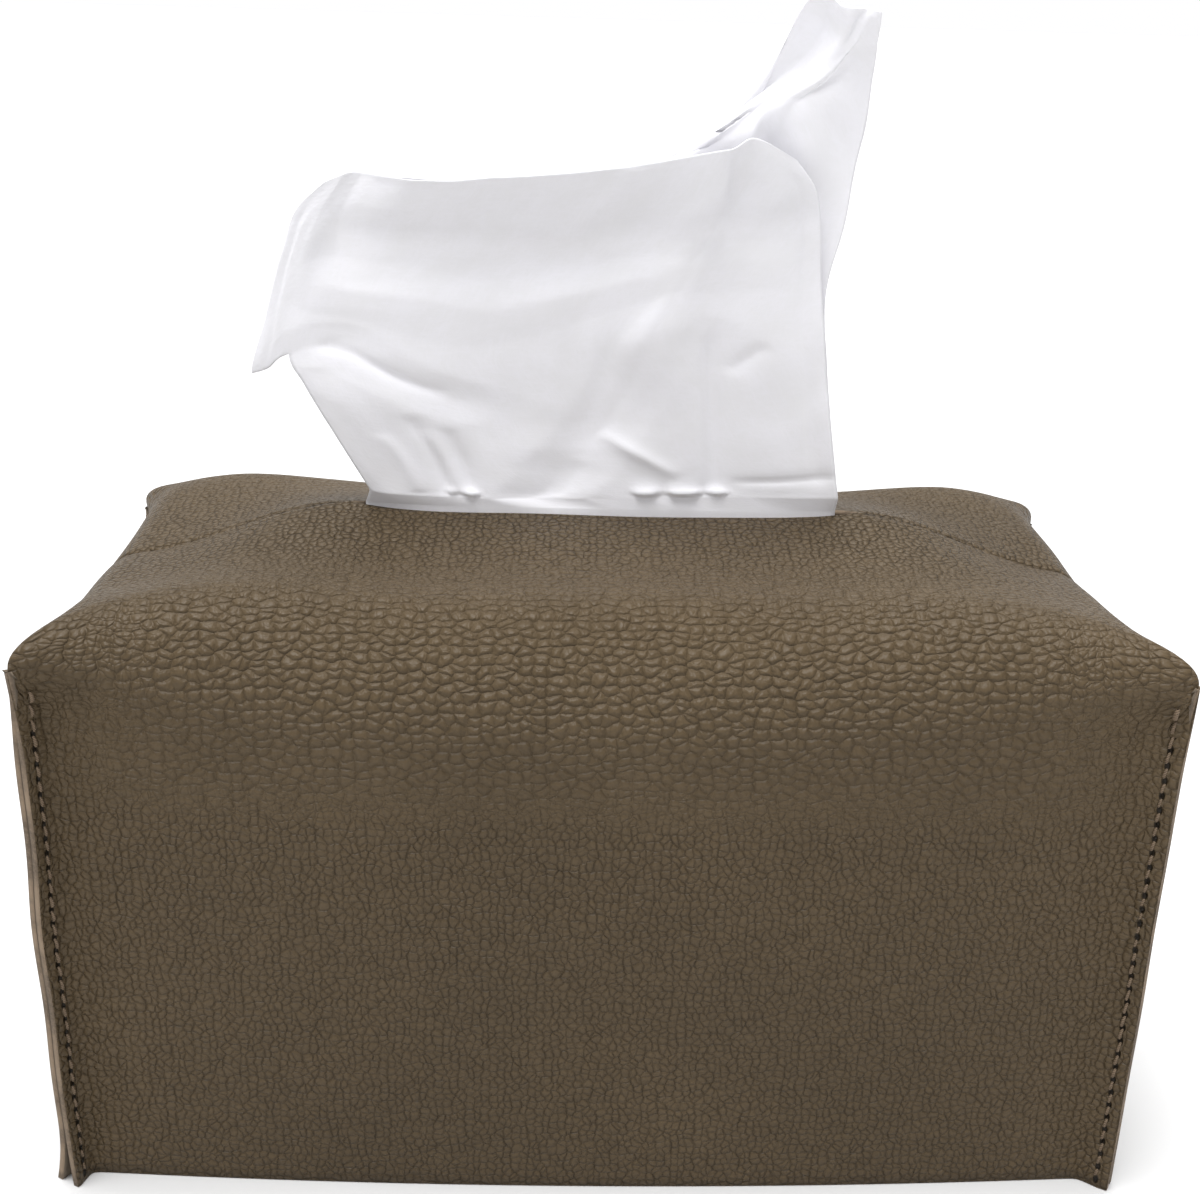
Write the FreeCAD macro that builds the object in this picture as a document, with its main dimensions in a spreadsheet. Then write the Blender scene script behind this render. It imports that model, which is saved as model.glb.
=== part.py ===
import FreeCAD, Part
import math
import os
import Sketcher

# Soft leather cover for a tissue carton, with the carton, its film and its sheets.
# +Z is up, +X runs along the long side and +Y points to the back.
# The origin is on the table, under the middle of the cover. Lengths are in millimetres.

SIZES = (
    ("carton_length", 230, "carton, long side"),
    ("carton_depth", 118, "carton, short side"),
    ("carton_height", 112, "carton, upright"),
    ("board", 0.6, "cardboard thickness"),
    ("opening_length", 152, "oval opening in the top of the carton"),
    ("opening_width", 44, "oval opening in the top of the carton"),
    ("flap_margin", 3, "side margin of the glued end flap"),
    ("film_rim", 9, "film glued round the opening"),
    ("film_thickness", 0.2, "clear film"),
    ("end_clearance", 4.5, "carton to end wall"),
    ("side_clearance", 5.5, "carton to front and back wall"),
    ("leather", 1.5, "leatherette thickness"),
    ("wall_bow", 4.5, "front and back walls bow out at mid-length"),
    ("edge_roll", 24, "inside radius of the long top edges at mid-length"),
    ("corner_roll", 1, "inside radius of the long top edges at the seams"),
    ("corner_rise", 16, "seam tops over the carton"),
    ("shoulder_rise", 25, "long top edges over the carton"),
    ("crown_rise", 35, "slot lips over the carton"),
    ("end_rise", 12, "middle of the short top edges over the carton"),
    ("slot_length", 125, "slot for the sheets"),
    ("slot_width", 10, "slot for the sheets"),
    ("seam_allowance", 5, "raw edges standing out past the corner"),
    ("seam_gap", 0.3, "between the two layers of a seam"),
    ("seam_root", 0.3, "raw edges joined into the corner"),
    ("seam_tack", 3, "height at the seam top where the blank is uncut"),
    ("seam_corner", 2.5, "cut-off corner at the top of the raw edges"),
    ("stitch_pitch", 3.5, "one stitch"),
    ("stitch_margin", 3, "stitch line to raw edge"),
    ("stitch_start", 2, "first stitch above the rim"),
    ("thread", 0.6, "thread across"),
    ("thread_dip", 0.2, "thread above the leather between two stitches"),
    ("thread_lock", 0.1, "between the two threads where they lock"),
    ("sheet", 0.5, "one pulled sheet with its two plies"),
    ("sheet_clearance", 0.4, "sheet to slot lip, and sheet to sheet"),
    ("sheet_side_gap", 5.5, "sheet to each end of the slot"),
    ("sheet_rise", 110, "pulled sheet above the slot"),
    ("sheet_tail", 54, "pulled sheet below the slot"),
    ("sheet_ripple", 9, "depth of the folds of the pulled sheet"),
    ("next_height", 58, "next sheet, upright part"),
    ("next_inset", 10, "next sheet narrower than the pulled one, each side"),
    ("next_lift", 1, "next sheet over the stack"),
    ("stack_gap", 6, "folded sheets to the carton's sides"),
    ("fold_height", 6, "one bundle of folded sheets"),
    ("fold_round", 2.6, "rounded fold of a bundle"),
    ("rim_trim", 4, "walls past the rim before it is cut level"),
    ("overrun", 8, "cutters past the faces they cut"),
)

# Ratios without a unit
STACK_FILL_SHARE = 0.7
FLAP_HEIGHT_SHARE = 0.6
FLANGE_TURN_DEGREES = 35
STITCH_SHOULDER_SHARE = 0.25

# Cross-sections of the cover from the middle to the end: place along half the length, then the shares
# of the edge roll, of the rise of the long edges and of the rise of the ridge.
STATION_SHARES = (
    (0.0, 1.0, 0.95, 1.0),
    (0.3, 0.98, 0.96, 1.0),
    (0.55, 0.93, 1.0, 0.95),
    (0.7, 0.82, 1.08, 0.72),
    (0.85, 0.6, 1.1, 0.5),
    (0.95, 0.3, 0.8, 0.36),
    (1.0, 0.0, 0.0, 0.0),
)

# Levels of the pulled sheet above the slot: height, left and right end (shares of half the tail), fold depth.
SHEET_LEVEL_SHARES = (
    (0.02, -1.0, 1.0, 0.0),
    (0.15, -1.25, 1.12, 0.35),
    (0.36, -1.5, 1.12, 0.9),
    (0.68, -1.5, 1.15, 1.0),
    (1.06, -1.5, 1.25, 0.8),
)

# Folds across the pulled sheet, front to back, as shares of the fold depth.
SHEET_FOLD_SHARES = (0.5, -1.0, 0.8, -0.6)

# Outline of the pulled sheet above the slot: along half the tail, and up the rise.
SHEET_OUTLINE_SHARES = (
    (-1.0, 0.0),
    (-1.06, 0.07),
    (-1.29, 0.29),
    (-1.42, 0.28),
    (-1.22, 0.59),
    (-1.04, 0.69),
    (-0.43, 0.68),
    (0.42, 0.74),
    (0.75, 1.01),
    (1.0, 1.0),
    (0.9, 0.47),
    (1.0, 0.05),
    (1.0, 0.0),
)

doc = FreeCAD.newDocument("tissue_box_cover")
sizes = doc.addObject("Spreadsheet::Sheet", "sizes")

LEATHER_LENGTH = "(sizes.carton_length + 2 * (sizes.end_clearance + sizes.leather))"
LEATHER_DEPTH = "(sizes.carton_depth + 2 * (sizes.side_clearance + sizes.leather))"
STACK_LENGTH = "(sizes.carton_length - 2 * sizes.stack_gap)"
STACK_DEPTH = "(sizes.carton_depth - 2 * sizes.stack_gap)"
SEAM_TOP = "(sizes.carton_height + sizes.corner_rise)"
CROWN = "(sizes.carton_height + sizes.crown_rise)"
FLANGE = "(2 * sizes.leather + sizes.seam_gap)"
TAIL_WIDTH = "(sizes.slot_length - 2 * sizes.sheet_side_gap)"
SHEET_FRONT = "(sizes.sheet_clearance - sizes.slot_width / 2)"
STITCH_COUNT = "floor((%s - sizes.stitch_start - sizes.seam_corner) / sizes.stitch_pitch)" % SEAM_TOP
FOLD_COUNT = "floor(sizes.carton_height * %s / sizes.fold_height)" % STACK_FILL_SHARE

CORNERS = (
    ("front_left", -1, -1),
    ("front_right", 1, -1),
    ("back_left", -1, 1),
    ("back_right", 1, 1),
)


def fill_sheet():
    for row, (name, value, note) in enumerate(SIZES, 1):
        sizes.set("A%d" % row, name)
        sizes.set("B%d" % row, str(value))
        sizes.set("C%d" % row, note)
        sizes.setAlias("B%d" % row, name)
    doc.recompute()


def number(expression):
    return float(sizes.evalExpression(str(expression)))


def bind(thing, **expressions):
    for name, expression in expressions.items():
        thing.setExpression(name.replace("__", "."), str(expression))


def new_body(name):
    body = doc.addObject("PartDesign::Body", name)
    body.Label = name
    return body


def origin_item(body, role):
    return next(item for item in body.Origin.OriginFeatures if item.Role == role)


def new_sketch(body, name, role, shift=("0", "0", "0"), turn=0, axis=(0, 1, 0)):
    sketch = body.newObject("Sketcher::SketchObject", name)
    sketch.AttachmentSupport = [(origin_item(body, role), "")]
    sketch.MapMode = "FlatFace"
    base = FreeCAD.Vector(*(number(part) for part in shift))
    sketch.AttachmentOffset = FreeCAD.Placement(base, FreeCAD.Rotation(FreeCAD.Vector(*axis), turn))
    for letter, part in zip("xyz", shift):
        if part != "0":
            sketch.setExpression("AttachmentOffset.Base." + letter, part)
    return sketch


def dimension(sketch, kind, places, expression):
    value = number(expression)
    first, second = places
    if value < 0:
        first, second = second, first
        expression = "-(%s)" % expression
    index = sketch.addConstraint(Sketcher.Constraint(kind, *first, *second, abs(value)))
    sketch.setExpression("Constraints[%d]" % index, expression)


def place_point(sketch, geometry, point, across, along):
    """Ties one end of a line to the sketch origin; a zero puts it on the axis."""
    for kind, expression, axis in (("DistanceX", across, -2), ("DistanceY", along, -1)):
        if expression == "0":
            sketch.addConstraint(Sketcher.Constraint("PointOnObject", geometry, point, axis))
        else:
            dimension(sketch, kind, ((-1, 1), (geometry, point)), expression)


def draw_polygon(sketch, points):
    """Closed outline through points that are given as pairs of expressions."""
    corners = [FreeCAD.Vector(number(across), number(along), 0) for across, along in points]
    for start, end in zip(corners, corners[1:] + corners[:1]):
        sketch.addGeometry(Part.LineSegment(start, end), False)
    count = len(corners)
    for index in range(count):
        follower = (index + 1) % count
        sketch.addConstraint(Sketcher.Constraint("Coincident", index, 2, follower, 1))
    for index, (across, along) in enumerate(points):
        place_point(sketch, index, 1, across, along)


def draw_stadium(sketch, length, width):
    """Straight-sided oval about the sketch origin, with its long side along the sketch X."""
    radius = number(width) / 2
    reach = number(length) / 2 - radius
    right = FreeCAD.Vector(reach, 0, 0)
    left = FreeCAD.Vector(-reach, 0, 0)
    up = FreeCAD.Vector(0, radius, 0)
    normal = FreeCAD.Vector(0, 0, 1)
    quarter = math.pi / 2
    sketch.addGeometry(Part.LineSegment(left - up, right - up), False)
    sketch.addGeometry(Part.ArcOfCircle(Part.Circle(right, normal, radius), -quarter, quarter), False)
    sketch.addGeometry(Part.LineSegment(right + up, left + up), False)
    sketch.addGeometry(Part.ArcOfCircle(Part.Circle(left, normal, radius), quarter, 3 * quarter), False)
    for first, second in ((0, 1), (1, 2), (2, 3), (3, 0)):
        sketch.addConstraint(Sketcher.Constraint("Tangent", first, 2, second, 1))
    sketch.addConstraint(Sketcher.Constraint("Symmetric", 1, 3, 3, 3, -1, 1))
    sketch.addConstraint(Sketcher.Constraint("Horizontal", 0))
    index = sketch.addConstraint(Sketcher.Constraint("Radius", 1, radius))
    sketch.setExpression("Constraints[%d]" % index, "%s / 2" % width)
    dimension(sketch, "DistanceX", ((3, 3), (1, 3)), "%s - %s" % (length, width))


def draw_arch(sketch, half_depth, base_drop, roll, shoulder, ridge):
    """Upright walls, rolled shoulders tangent to the walls, and two slopes that meet at the ridge."""
    d, drop, r = number(half_depth), number(base_drop), number(roll)
    centre_z, top = number(shoulder), number(ridge)
    away = math.hypot(d - r, top - centre_z)
    bearing = math.atan2(top - centre_z, r - d) - math.acos(r / away)
    normal = FreeCAD.Vector(0, 0, 1)
    middle = FreeCAD.Vector(d - r, centre_z, 0)
    touch = middle + FreeCAD.Vector(r * math.cos(bearing), r * math.sin(bearing), 0)
    crest = FreeCAD.Vector(0, top, 0)

    def mirrored(point):
        return FreeCAD.Vector(-point.x, point.y, 0)

    foot = FreeCAD.Vector(d, -drop, 0)
    shoulder_point = FreeCAD.Vector(d, centre_z, 0)
    right_circle = Part.Circle(middle, normal, r)
    left_circle = Part.Circle(mirrored(middle), normal, r)
    sketch.addGeometry(Part.LineSegment(mirrored(foot), foot), False)
    sketch.addGeometry(Part.LineSegment(foot, shoulder_point), False)
    sketch.addGeometry(Part.ArcOfCircle(right_circle, 0, bearing), False)
    sketch.addGeometry(Part.LineSegment(touch, crest), False)
    sketch.addGeometry(Part.LineSegment(crest, mirrored(touch)), False)
    sketch.addGeometry(Part.ArcOfCircle(left_circle, math.pi - bearing, math.pi), False)
    sketch.addGeometry(Part.LineSegment(mirrored(shoulder_point), mirrored(foot)), False)
    for first, second in ((0, 1), (3, 4), (6, 0)):
        sketch.addConstraint(Sketcher.Constraint("Coincident", first, 2, second, 1))
    for first, second in ((1, 2), (2, 3), (4, 5), (5, 6)):
        sketch.addConstraint(Sketcher.Constraint("Tangent", first, 2, second, 1))
    sketch.addConstraint(Sketcher.Constraint("Symmetric", 0, 1, 0, 2, -2))
    sketch.addConstraint(Sketcher.Constraint("Vertical", 1))
    sketch.addConstraint(Sketcher.Constraint("Vertical", 6))
    sketch.addConstraint(Sketcher.Constraint("Equal", 2, 5))
    sketch.addConstraint(Sketcher.Constraint("Horizontal", 2, 3, 5, 3))
    place_point(sketch, 3, 2, "0", ridge)
    if base_drop == "0":
        sketch.addConstraint(Sketcher.Constraint("PointOnObject", 0, 1, -1))
    else:
        dimension(sketch, "DistanceY", ((0, 1), (-1, 1)), base_drop)
    dimension(sketch, "DistanceX", ((0, 1), (0, 2)), "2 * %s" % half_depth)
    dimension(sketch, "DistanceY", ((-1, 1), (2, 3)), shoulder)
    index = sketch.addConstraint(Sketcher.Constraint("Radius", 2, r))
    sketch.setExpression("Constraints[%d]" % index, roll)


def arch_station(body, name, side, station, skin, base_drop):
    """One cross-section of the cover; skin is how far it lies inside the outer face."""
    place, roll_share, rise_share, ridge_share = station
    half_length = "(%s / 2 - %s)" % (LEATHER_LENGTH, skin)
    half_depth = "(%s / 2 + sizes.wall_bow * %r - %s)" % (LEATHER_DEPTH, 1 - place ** 2, skin)
    inner_roll = "(sizes.corner_roll + (sizes.edge_roll - sizes.corner_roll) * %r)" % roll_share
    roll = "(%s + sizes.leather - %s)" % (inner_roll, skin)
    rise = "(sizes.corner_rise + (sizes.shoulder_rise - sizes.corner_rise) * %r)" % rise_share
    shoulder = "(sizes.carton_height + %s - sizes.leather - %s)" % (rise, inner_roll)
    crest = "(sizes.end_rise + (sizes.crown_rise - sizes.end_rise) * %r)" % ridge_share
    ridge = "(sizes.carton_height + %s - %s)" % (crest, skin)
    shift = "0"
    if place:
        shift = "%r * %s" % (side * place, half_length)
    sketch = new_sketch(body, name, "YZ_Plane", ("0", "0", shift))
    draw_arch(sketch, half_depth, base_drop, roll, shoulder, ridge)
    return sketch


def arch_row(body, name, skin, base_drop):
    """Cross-sections from the left end to the right end."""
    rows = [(-1, station) for station in reversed(STATION_SHARES[1:])]
    rows += [(1, station) for station in STATION_SHARES]
    sketches = []
    for index, (side, station) in enumerate(rows):
        label = "%s_section_%d" % (name, index)
        sketches.append(arch_station(body, label, side, station, skin, base_drop))
    return sketches


def flange_angle(x_side, y_side):
    turn = math.radians(FLANGE_TURN_DEGREES)
    return math.degrees(math.atan2(y_side * math.sin(turn), x_side * math.cos(turn)))


def flange_sketch(body, name, x_side, y_side):
    """Upright plane through a corner that runs out along its seam."""
    across = "%d * %s / 2" % (x_side, LEATHER_LENGTH)
    depth = "%d * %s / 2" % (-y_side, LEATHER_DEPTH)
    return new_sketch(body, name, "XZ_Plane", (across, "0", depth), flange_angle(x_side, y_side))


def leather_cover():
    """One blank: vaulted top with a slot, four walls, and raw seam edges that stand out at the corners."""
    body = new_body("leather_cover")
    outer = arch_row(body, "outer", "0", "sizes.rim_trim")
    vault = body.newObject("PartDesign::AdditiveLoft", "vault")
    vault.Profile = outer[0]
    vault.Sections = outer[1:]
    vault.Ruled = True
    inner = arch_row(body, "inner", "sizes.leather", "sizes.overrun")
    hollow = body.newObject("PartDesign::SubtractiveLoft", "hollow")
    hollow.Profile = inner[0]
    hollow.Sections = inner[1:]
    hollow.Ruled = True
    trim_rim(body)
    for name, x_side, y_side in CORNERS:
        add_flange(body, name, x_side, y_side)
    for name, x_side, y_side in CORNERS:
        part_layers(body, name, x_side, y_side)
    cut_slot(body)
    return body


def add_flange(body, name, x_side, y_side):
    sketch = flange_sketch(body, name + "_edge", x_side, y_side)
    corner = "(%s - sizes.seam_corner)" % SEAM_TOP
    inset = "(sizes.seam_allowance - sizes.seam_corner)"
    draw_polygon(sketch, (
        ("-sizes.seam_root", "0"),
        ("sizes.seam_allowance", "0"),
        ("sizes.seam_allowance", corner),
        (inset, SEAM_TOP),
        ("-sizes.seam_root", SEAM_TOP),
    ))
    pad = body.newObject("PartDesign::Pad", name + "_flange")
    pad.Profile = sketch
    pad.SideType = "Symmetric"
    bind(pad, Length=FLANGE)


def part_layers(body, name, x_side, y_side):
    """Thin cut between the two layers, up to where the blank is whole."""
    sketch = flange_sketch(body, name + "_parting", x_side, y_side)
    past = "(sizes.seam_allowance + sizes.overrun)"
    top = "(%s - sizes.seam_tack)" % SEAM_TOP
    draw_polygon(sketch, (
        ("-sizes.overrun", "-sizes.overrun"),
        (past, "-sizes.overrun"),
        (past, top),
        ("-sizes.overrun", top),
    ))
    pocket = body.newObject("PartDesign::Pocket", name + "_gap")
    pocket.Profile = sketch
    pocket.SideType = "Symmetric"
    bind(pocket, Length="sizes.seam_gap")


def trim_rim(body):
    """Cuts the walls level, so that the rim is one flat face."""
    sketch = new_sketch(body, "rim_outline", "XY_Plane")
    draw_block(sketch, "2 * %s" % LEATHER_LENGTH, "2 * %s" % LEATHER_DEPTH)
    pocket = body.newObject("PartDesign::Pocket", "rim")
    pocket.Profile = sketch
    bind(pocket, Length="sizes.overrun")


def cut_slot(body):
    sketch = new_sketch(body, "slot_outline", "XY_Plane", ("0", "0", "%s + sizes.overrun" % CROWN))
    draw_stadium(sketch, "sizes.slot_length", "sizes.slot_width")
    pocket = body.newObject("PartDesign::Pocket", "slot")
    pocket.Profile = sketch
    bind(pocket, Length="sizes.crown_rise + sizes.overrun")


def seam_thread(name, x_side, y_side, layer):
    """Running row of lockstitches: each stitch lies on one layer and dives to the parting at both ends."""
    body = new_body(name)
    angle = flange_angle(x_side, y_side)
    body.Placement = FreeCAD.Placement(FreeCAD.Vector(), FreeCAD.Rotation(FreeCAD.Vector(0, 0, 1), angle))
    body.setExpression("Placement.Base.x", "%d * %s / 2" % (x_side, LEATHER_LENGTH))
    body.setExpression("Placement.Base.y", "%d * %s / 2" % (y_side, LEATHER_DEPTH))
    line = "sizes.seam_allowance - sizes.stitch_margin"
    sketch = new_sketch(body, name + "_stitch", "YZ_Plane", ("0", "sizes.stitch_start", line))
    face = "%d * (%s / 2)" % (layer, FLANGE)
    crown = "%d * (%s / 2 + sizes.thread)" % (layer, FLANGE)
    dip = "%d * (%s / 2 + sizes.thread_dip)" % (layer, FLANGE)
    lock = "%d * sizes.thread_lock / 2" % layer
    leg = "sizes.thread / 2"
    draw_polygon(sketch, (
        (lock, "0"),
        (dip, "0"),
        (crown, "sizes.stitch_pitch * %r" % STITCH_SHOULDER_SHARE),
        (crown, "sizes.stitch_pitch * %r" % (1 - STITCH_SHOULDER_SHARE)),
        (dip, "sizes.stitch_pitch"),
        (lock, "sizes.stitch_pitch"),
        (lock, "sizes.stitch_pitch - " + leg),
        (face, "sizes.stitch_pitch - " + leg),
        (face, leg),
        (lock, leg),
    ))
    pad = body.newObject("PartDesign::Pad", name + "_loop")
    pad.Profile = sketch
    pad.SideType = "Symmetric"
    bind(pad, Length="sizes.thread")
    return repeat_upward(body, pad, name + "_row", "sizes.stitch_pitch", STITCH_COUNT)


def repeat_upward(body, pad, name, pitch, count):
    row = body.newObject("PartDesign::LinearPattern", name)
    row.Originals = [pad]
    row.Direction = (origin_item(body, "Z_Axis"), [""])
    row.Mode = "Spacing"
    bind(row, Offset=pitch, Occurrences=count)
    body.Tip = row
    return body


def tissue_carton():
    """Closed box of folded board with an oval opening on top and a glued outer flap on each end."""
    body = new_body("tissue_carton")
    footprint = new_sketch(body, "carton_footprint", "XY_Plane")
    draw_block(footprint, "sizes.carton_length", "sizes.carton_depth")
    pad = body.newObject("PartDesign::Pad", "carton_block")
    pad.Profile = footprint
    bind(pad, Length="sizes.carton_height")
    for side in (-1, 1):
        add_end_flap(body, side)
    inside = body.newObject("PartDesign::SubtractiveBox", "carton_inside")
    bind(
        inside,
        Length="sizes.carton_length - 2 * sizes.board",
        Width="sizes.carton_depth - 2 * sizes.board",
        Height="sizes.carton_height - 2 * sizes.board",
    )
    inside.AttachmentSupport = [(origin_item(body, "XY_Plane"), "")]
    inside.MapMode = "FlatFace"
    bind(
        inside,
        AttachmentOffset__Base__x="sizes.board - sizes.carton_length / 2",
        AttachmentOffset__Base__y="sizes.board - sizes.carton_depth / 2",
        AttachmentOffset__Base__z="sizes.board",
    )
    oval = new_sketch(body, "carton_oval", "XY_Plane", ("0", "0", "sizes.carton_height + sizes.board"))
    draw_stadium(oval, "sizes.opening_length", "sizes.opening_width")
    pocket = body.newObject("PartDesign::Pocket", "carton_opening")
    pocket.Profile = oval
    bind(pocket, Length="3 * sizes.board")
    return body


def draw_block(sketch, length, width):
    left, right = "-%s / 2" % length, "%s / 2" % length
    front, back = "-%s / 2" % width, "%s / 2" % width
    draw_polygon(sketch, ((left, front), (right, front), (right, back), (left, back)))


def add_end_flap(body, side):
    sketch = new_sketch(body, "flap_outline_%d" % (side + 2), "YZ_Plane",
                        ("0", "0", "%d * sizes.carton_length / 2" % side))
    half = "(sizes.carton_depth / 2 - sizes.flap_margin)"
    bottom = "sizes.carton_height * %r" % (1 - FLAP_HEIGHT_SHARE)
    top = "(sizes.carton_height - sizes.board)"
    draw_polygon(sketch, (("-" + half, bottom), (half, bottom), (half, top), ("-" + half, top)))
    pad = body.newObject("PartDesign::Pad", "end_flap_%d" % (side + 2))
    pad.Profile = sketch
    pad.Reversed = side < 0
    bind(pad, Length="sizes.board")


def carton_film():
    """Film under the opening, with the slit that its sheets hold open."""
    body = new_body("carton_film")
    under = "sizes.carton_height - sizes.board - sizes.film_thickness"
    outline = new_sketch(body, "film_outline", "XY_Plane", ("0", "0", under))
    draw_block(outline, "(sizes.opening_length + 2 * sizes.film_rim)", "(sizes.opening_width + 2 * sizes.film_rim)")
    pad = body.newObject("PartDesign::Pad", "film_plate")
    pad.Profile = outline
    bind(pad, Length="sizes.film_thickness")
    slit = new_sketch(body, "film_slit_outline", "XY_Plane", ("0", "0", "sizes.carton_height"))
    draw_stadium(slit, "sizes.slot_length", "sizes.slot_width")
    pocket = body.newObject("PartDesign::Pocket", "film_slit")
    pocket.Profile = slit
    bind(pocket, Length="3 * sizes.board")
    return body


def tissue_stack():
    """Bundles of folded sheets on the carton floor, each with a rounded fold at the front and the back."""
    body = new_body("tissue_stack")
    shift = ("0", "sizes.board", "-%s / 2" % STACK_LENGTH)
    sketch = new_sketch(body, "fold_outline", "YZ_Plane", shift)
    half = "(%s / 2)" % STACK_DEPTH
    flat = "(%s / 2 - sizes.fold_round)" % STACK_DEPTH
    rounded = "sizes.fold_round"
    top = "sizes.fold_height"
    shoulder = "(sizes.fold_height - sizes.fold_round)"
    draw_polygon(sketch, (
        ("-" + flat, "0"), (flat, "0"), (half, rounded), (half, shoulder),
        (flat, top), ("-" + flat, top), ("-" + half, shoulder), ("-" + half, rounded),
    ))
    pad = body.newObject("PartDesign::Pad", "fold_bundle")
    pad.Profile = sketch
    bind(pad, Length=STACK_LENGTH)
    return repeat_upward(body, pad, "fold_row", "sizes.fold_height", FOLD_COUNT)


def next_sheet():
    """Upright part of the sheet that comes up after the pulled one."""
    body = new_body("next_sheet")
    behind = "-(%s + sizes.sheet + sizes.sheet_clearance)" % SHEET_FRONT
    sketch = new_sketch(body, "next_outline", "XZ_Plane", ("0", "0", behind))
    half = "(%s / 2 - sizes.next_inset)" % TAIL_WIDTH
    foot = "(sizes.board + %s * sizes.fold_height + sizes.next_lift)" % FOLD_COUNT
    top = "(%s + sizes.next_height)" % foot
    low_top = "(%s + sizes.next_height - sizes.next_inset / 2)" % foot
    draw_polygon(sketch, (("-" + half, foot), (half, foot), (half, low_top), ("0", top), ("-" + half, low_top)))
    pad = body.newObject("PartDesign::Pad", "next_plate")
    pad.Profile = sketch
    pad.Reversed = True
    bind(pad, Length="sizes.sheet")
    return body


def rippled_section(height, left, right, front, depth, thickness):
    """Closed outline of a thin sheet with folds to the front and the back, one after the other."""
    count = len(SHEET_FOLD_SHARES)
    step = (right - left) / count
    near = [FreeCAD.Vector(left, front, height)]
    for index, share in enumerate(SHEET_FOLD_SHARES):
        start = left + index * step
        near.append(FreeCAD.Vector(start + step / 2, front - share * depth, height))
        near.append(FreeCAD.Vector(start + step, front, height))
    far = [point + FreeCAD.Vector(0, thickness, 0) for point in reversed(near)]
    return Part.makePolygon(near + far + near[:1])


def pulled_sheet():
    """Sheet that stands in the slot: a flat tail below, folds above, cut to its ragged outline."""
    half = number(TAIL_WIDTH) / 2
    rise = number("sizes.sheet_rise")
    lip = number(CROWN)
    front = number(SHEET_FRONT)
    thickness = number("sizes.sheet")
    overrun = number("sizes.overrun")
    fold = number("sizes.sheet_ripple")
    sections = []
    for level, left, right, depth in SHEET_LEVEL_SHARES:
        section = rippled_section(lip + level * rise, left * half, right * half, front, depth * fold, thickness)
        sections.append(section)
    folds = Part.makeLoft(sections, True, True)
    root = SHEET_LEVEL_SHARES[0][0] * rise
    reach = fold + overrun
    outline = [FreeCAD.Vector(x * half, front - reach, lip + up * rise) for x, up in SHEET_OUTLINE_SHARES]
    blade = Part.Face(Part.makePolygon(outline + outline[:1])).extrude(FreeCAD.Vector(0, 2 * reach, 0))
    drop = number("sizes.sheet_tail")
    corner = FreeCAD.Vector(-half, front, lip - drop)
    tail = Part.makeBox(2 * half, thickness, drop + root, corner)
    thing = doc.addObject("Part::Feature", "pulled_sheet")
    thing.Label = "pulled_sheet"
    thing.Shape = folds.common(blade).fuse(tail).removeSplitter()
    return thing


def check(thing):
    shape = thing.Shape
    if "Invalid" in thing.State or "Error" in thing.State:
        raise RuntimeError("%s: %s" % (thing.Label, thing.State))
    if shape.isNull() or not shape.isValid() or not shape.Solids:
        raise RuntimeError("%s has no valid solid" % thing.Label)


def main():
    fill_sheet()
    pieces = [leather_cover()]
    for name, x_side, y_side in CORNERS:
        pieces.append(seam_thread("needle_thread_" + name, x_side, y_side, x_side * y_side))
        pieces.append(seam_thread("bobbin_thread_" + name, x_side, y_side, -x_side * y_side))
    pieces += [tissue_carton(), carton_film(), tissue_stack(), next_sheet()]
    doc.recompute()
    pieces.append(pulled_sheet())
    doc.recompute()
    for thing in doc.Objects:
        if "Invalid" in thing.State or "Error" in thing.State:
            raise RuntimeError("%s: %s" % (thing.Name, thing.State))
    os.makedirs("parts", exist_ok=True)
    for piece in pieces:
        check(piece)
        piece.Shape.exportStep("parts/%s.step" % piece.Label)


main()
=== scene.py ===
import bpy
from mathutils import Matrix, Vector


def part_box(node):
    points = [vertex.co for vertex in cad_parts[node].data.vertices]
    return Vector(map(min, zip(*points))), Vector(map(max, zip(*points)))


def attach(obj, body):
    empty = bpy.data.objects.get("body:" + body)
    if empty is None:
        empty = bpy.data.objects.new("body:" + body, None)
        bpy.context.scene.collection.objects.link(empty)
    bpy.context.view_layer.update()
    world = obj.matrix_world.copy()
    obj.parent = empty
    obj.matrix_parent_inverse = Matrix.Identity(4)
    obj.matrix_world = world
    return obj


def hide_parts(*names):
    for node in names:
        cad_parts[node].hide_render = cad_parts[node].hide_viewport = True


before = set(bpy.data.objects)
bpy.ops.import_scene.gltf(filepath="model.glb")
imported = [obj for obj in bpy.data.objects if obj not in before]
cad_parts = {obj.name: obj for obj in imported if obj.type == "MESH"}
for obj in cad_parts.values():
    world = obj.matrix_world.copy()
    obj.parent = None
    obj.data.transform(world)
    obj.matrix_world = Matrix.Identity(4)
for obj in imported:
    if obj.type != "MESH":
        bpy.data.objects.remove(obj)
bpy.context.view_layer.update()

import math

import bmesh
import bpy
import numpy as np
from bpy.props import FloatProperty, FloatVectorProperty, IntProperty, PointerProperty
from mathutils import Matrix

bl_info = {
    "name": "Tissue box cover",
    "version": (1, 0, 0),
    "blender": (4, 5, 0),
    "location": "3D View > Sidebar > Tissue cover",
    "description": "A sewn leatherette cover over a tissue carton, with a sheet standing in its slot",
    "category": "Add Mesh",
}

MM = 0.001
CORNERS = ("front_left", "front_right", "back_left", "back_right")

# How far each sewn corner lies over towards the long wall, in degrees from the cover's length.
SEAM_TURNS = {"front_left": 58.0, "front_right": 33.0, "back_left": 38.0, "back_right": 42.0}
# How far the two layers of each seam part again at the rim, in metres.
SEAM_SPLAYS = {"front_left": 0.0013, "front_right": 0.0003, "back_left": 0.0005, "back_right": 0.0008}

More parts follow.
